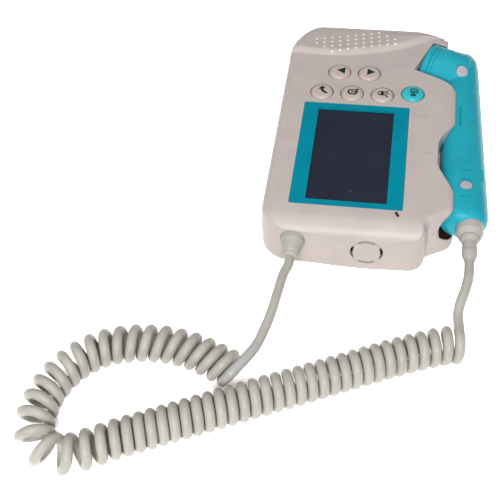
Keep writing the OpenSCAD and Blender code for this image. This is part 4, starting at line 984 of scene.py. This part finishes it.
# Silvered brass: paler and duller than the contacts
piezo_metal = plated_metal("silvered_brass_transducer_disc", ("C9B98A", "BFAE7E"), roughness=0.35,
                           grit_mm=0.4)
# Zinc plating on steel: cool grey, its mirror broken up by fine grit
screw_zinc = plated_metal("zinc_plated_steel_screws", ("BFC1C4", "B4B6BA"), roughness=0.32, grit_mm=0.15)

refined("front_housing", "front_shell", "unit", front_abs, CASE_ANGLE)
lower_case = refined("rear_housing", "rear_shell", "unit", rear_abs_painted_lighter, CASE_ANGLE)
probe_upper = refined("probe_front_shell", "probe_upper_half", "probe", probe_abs, PROBE_ANGLE)
refined("probe_rear_shell", "probe_lower_half", "probe", probe_abs, PROBE_ANGLE)

finish(rear_abs_painted_lighter, "battery_door", "port_plug")
finish(pack_wrap, "battery_pack")
finish(contact_brass, "battery_contacts")
finish(bezel_panel, "display_bezel")
finish(tinted_window(), "display_window")
finish(panel_frame, "lcd_module")
finish(board_resist, "main_board", "probe_board")
finish(speaker_parts, "speaker")
grille_gauze = woven_cloth()
finish(grille_gauze, "grille_cloth")
finish(key_pad, "keypad_membrane")
finish(key_abs, "key_left", "key_right", "key_back", "key_record", "key_light")
finish(teal_key_abs, "key_power")
finish(lens, "indicator_lens")
finish(relief_pvc, "cord_gland", "probe_boot")
finish(screw_zinc, "board_screws", "probe_screws")
finish(probe_abs, "transducer_ring", "transducer_cap")
finish(face_epoxy, "transducer_face")
finish(piezo_metal, "piezo_disc")
finish(collar_abs, "probe_collar")

new_piece("probe_flush_caps", flush_caps(probe_upper), "probe", cap_abs, ("probe_screw_caps",))

# Painted shade: black and dull, so that the gaps round the plug read as dark
plug_gap_shade_black = moulded_plastic("black_plug_gap_painted_shade", ("1A1213", "211819"), roughness=0.75, grain_mm=0.4,
                              height_mm=0.01, edge_mm=0.1, patch_mm=3, shine=0.2)
new_piece("plug_gap_shade_arcs", plug_gap_shade_arcs(), "unit", plug_gap_shade_black)

# Painted shade: a dark brown pad in the foot of the bay, where the probe's end comes to rest, that swallows
# nearly all light
bay_shade_brown = moulded_plastic("dark_brown_painted_shade_pad", ("2A1009", "36160D"), roughness=0.85, grain_mm=0.6,
                       height_mm=0.05, edge_mm=0.1, patch_mm=4, shine=0.1)
new_piece("bay_foot_shade_pad", bay_foot_shade_pad(lower_case), "unit", bay_shade_brown)

for key, shapes in symbol_shapes().items():
    printed_symbol(key, shapes, teal_ink if key == "key_power" else ink)

screw_points = points_mesh([(x * MM, y * MM, SCREW_LEVEL * MM) for x, y in SCREW_PLACES], "case_screw_places")
screw_sizes = {name: size * MM for name, size in SCREW_SIZES.items()}
screws = grown(cross_screw_tree(), screw_points, screw_sizes | {"Material": screw_zinc}, "cross_head_screws")
smooth_by_angle(screws, SCREW_ANGLE)
new_piece("cross_head_screws", screws, "unit", screw_zinc, ("case_screws",))

# The cloth bulges a little into each hole of the grille
hole_points = points_mesh(grille_places(), "grille_hole_places")
puff_sizes = {name: size * MM for name, size in PUFF_SIZES.items()}
puffs = grown(cloth_puff_tree(), hole_points, puff_sizes | {"Material": grille_gauze}, "grille_cloth_puffs")
new_piece("grille_cloth_puffs", puffs, "unit", grille_gauze)
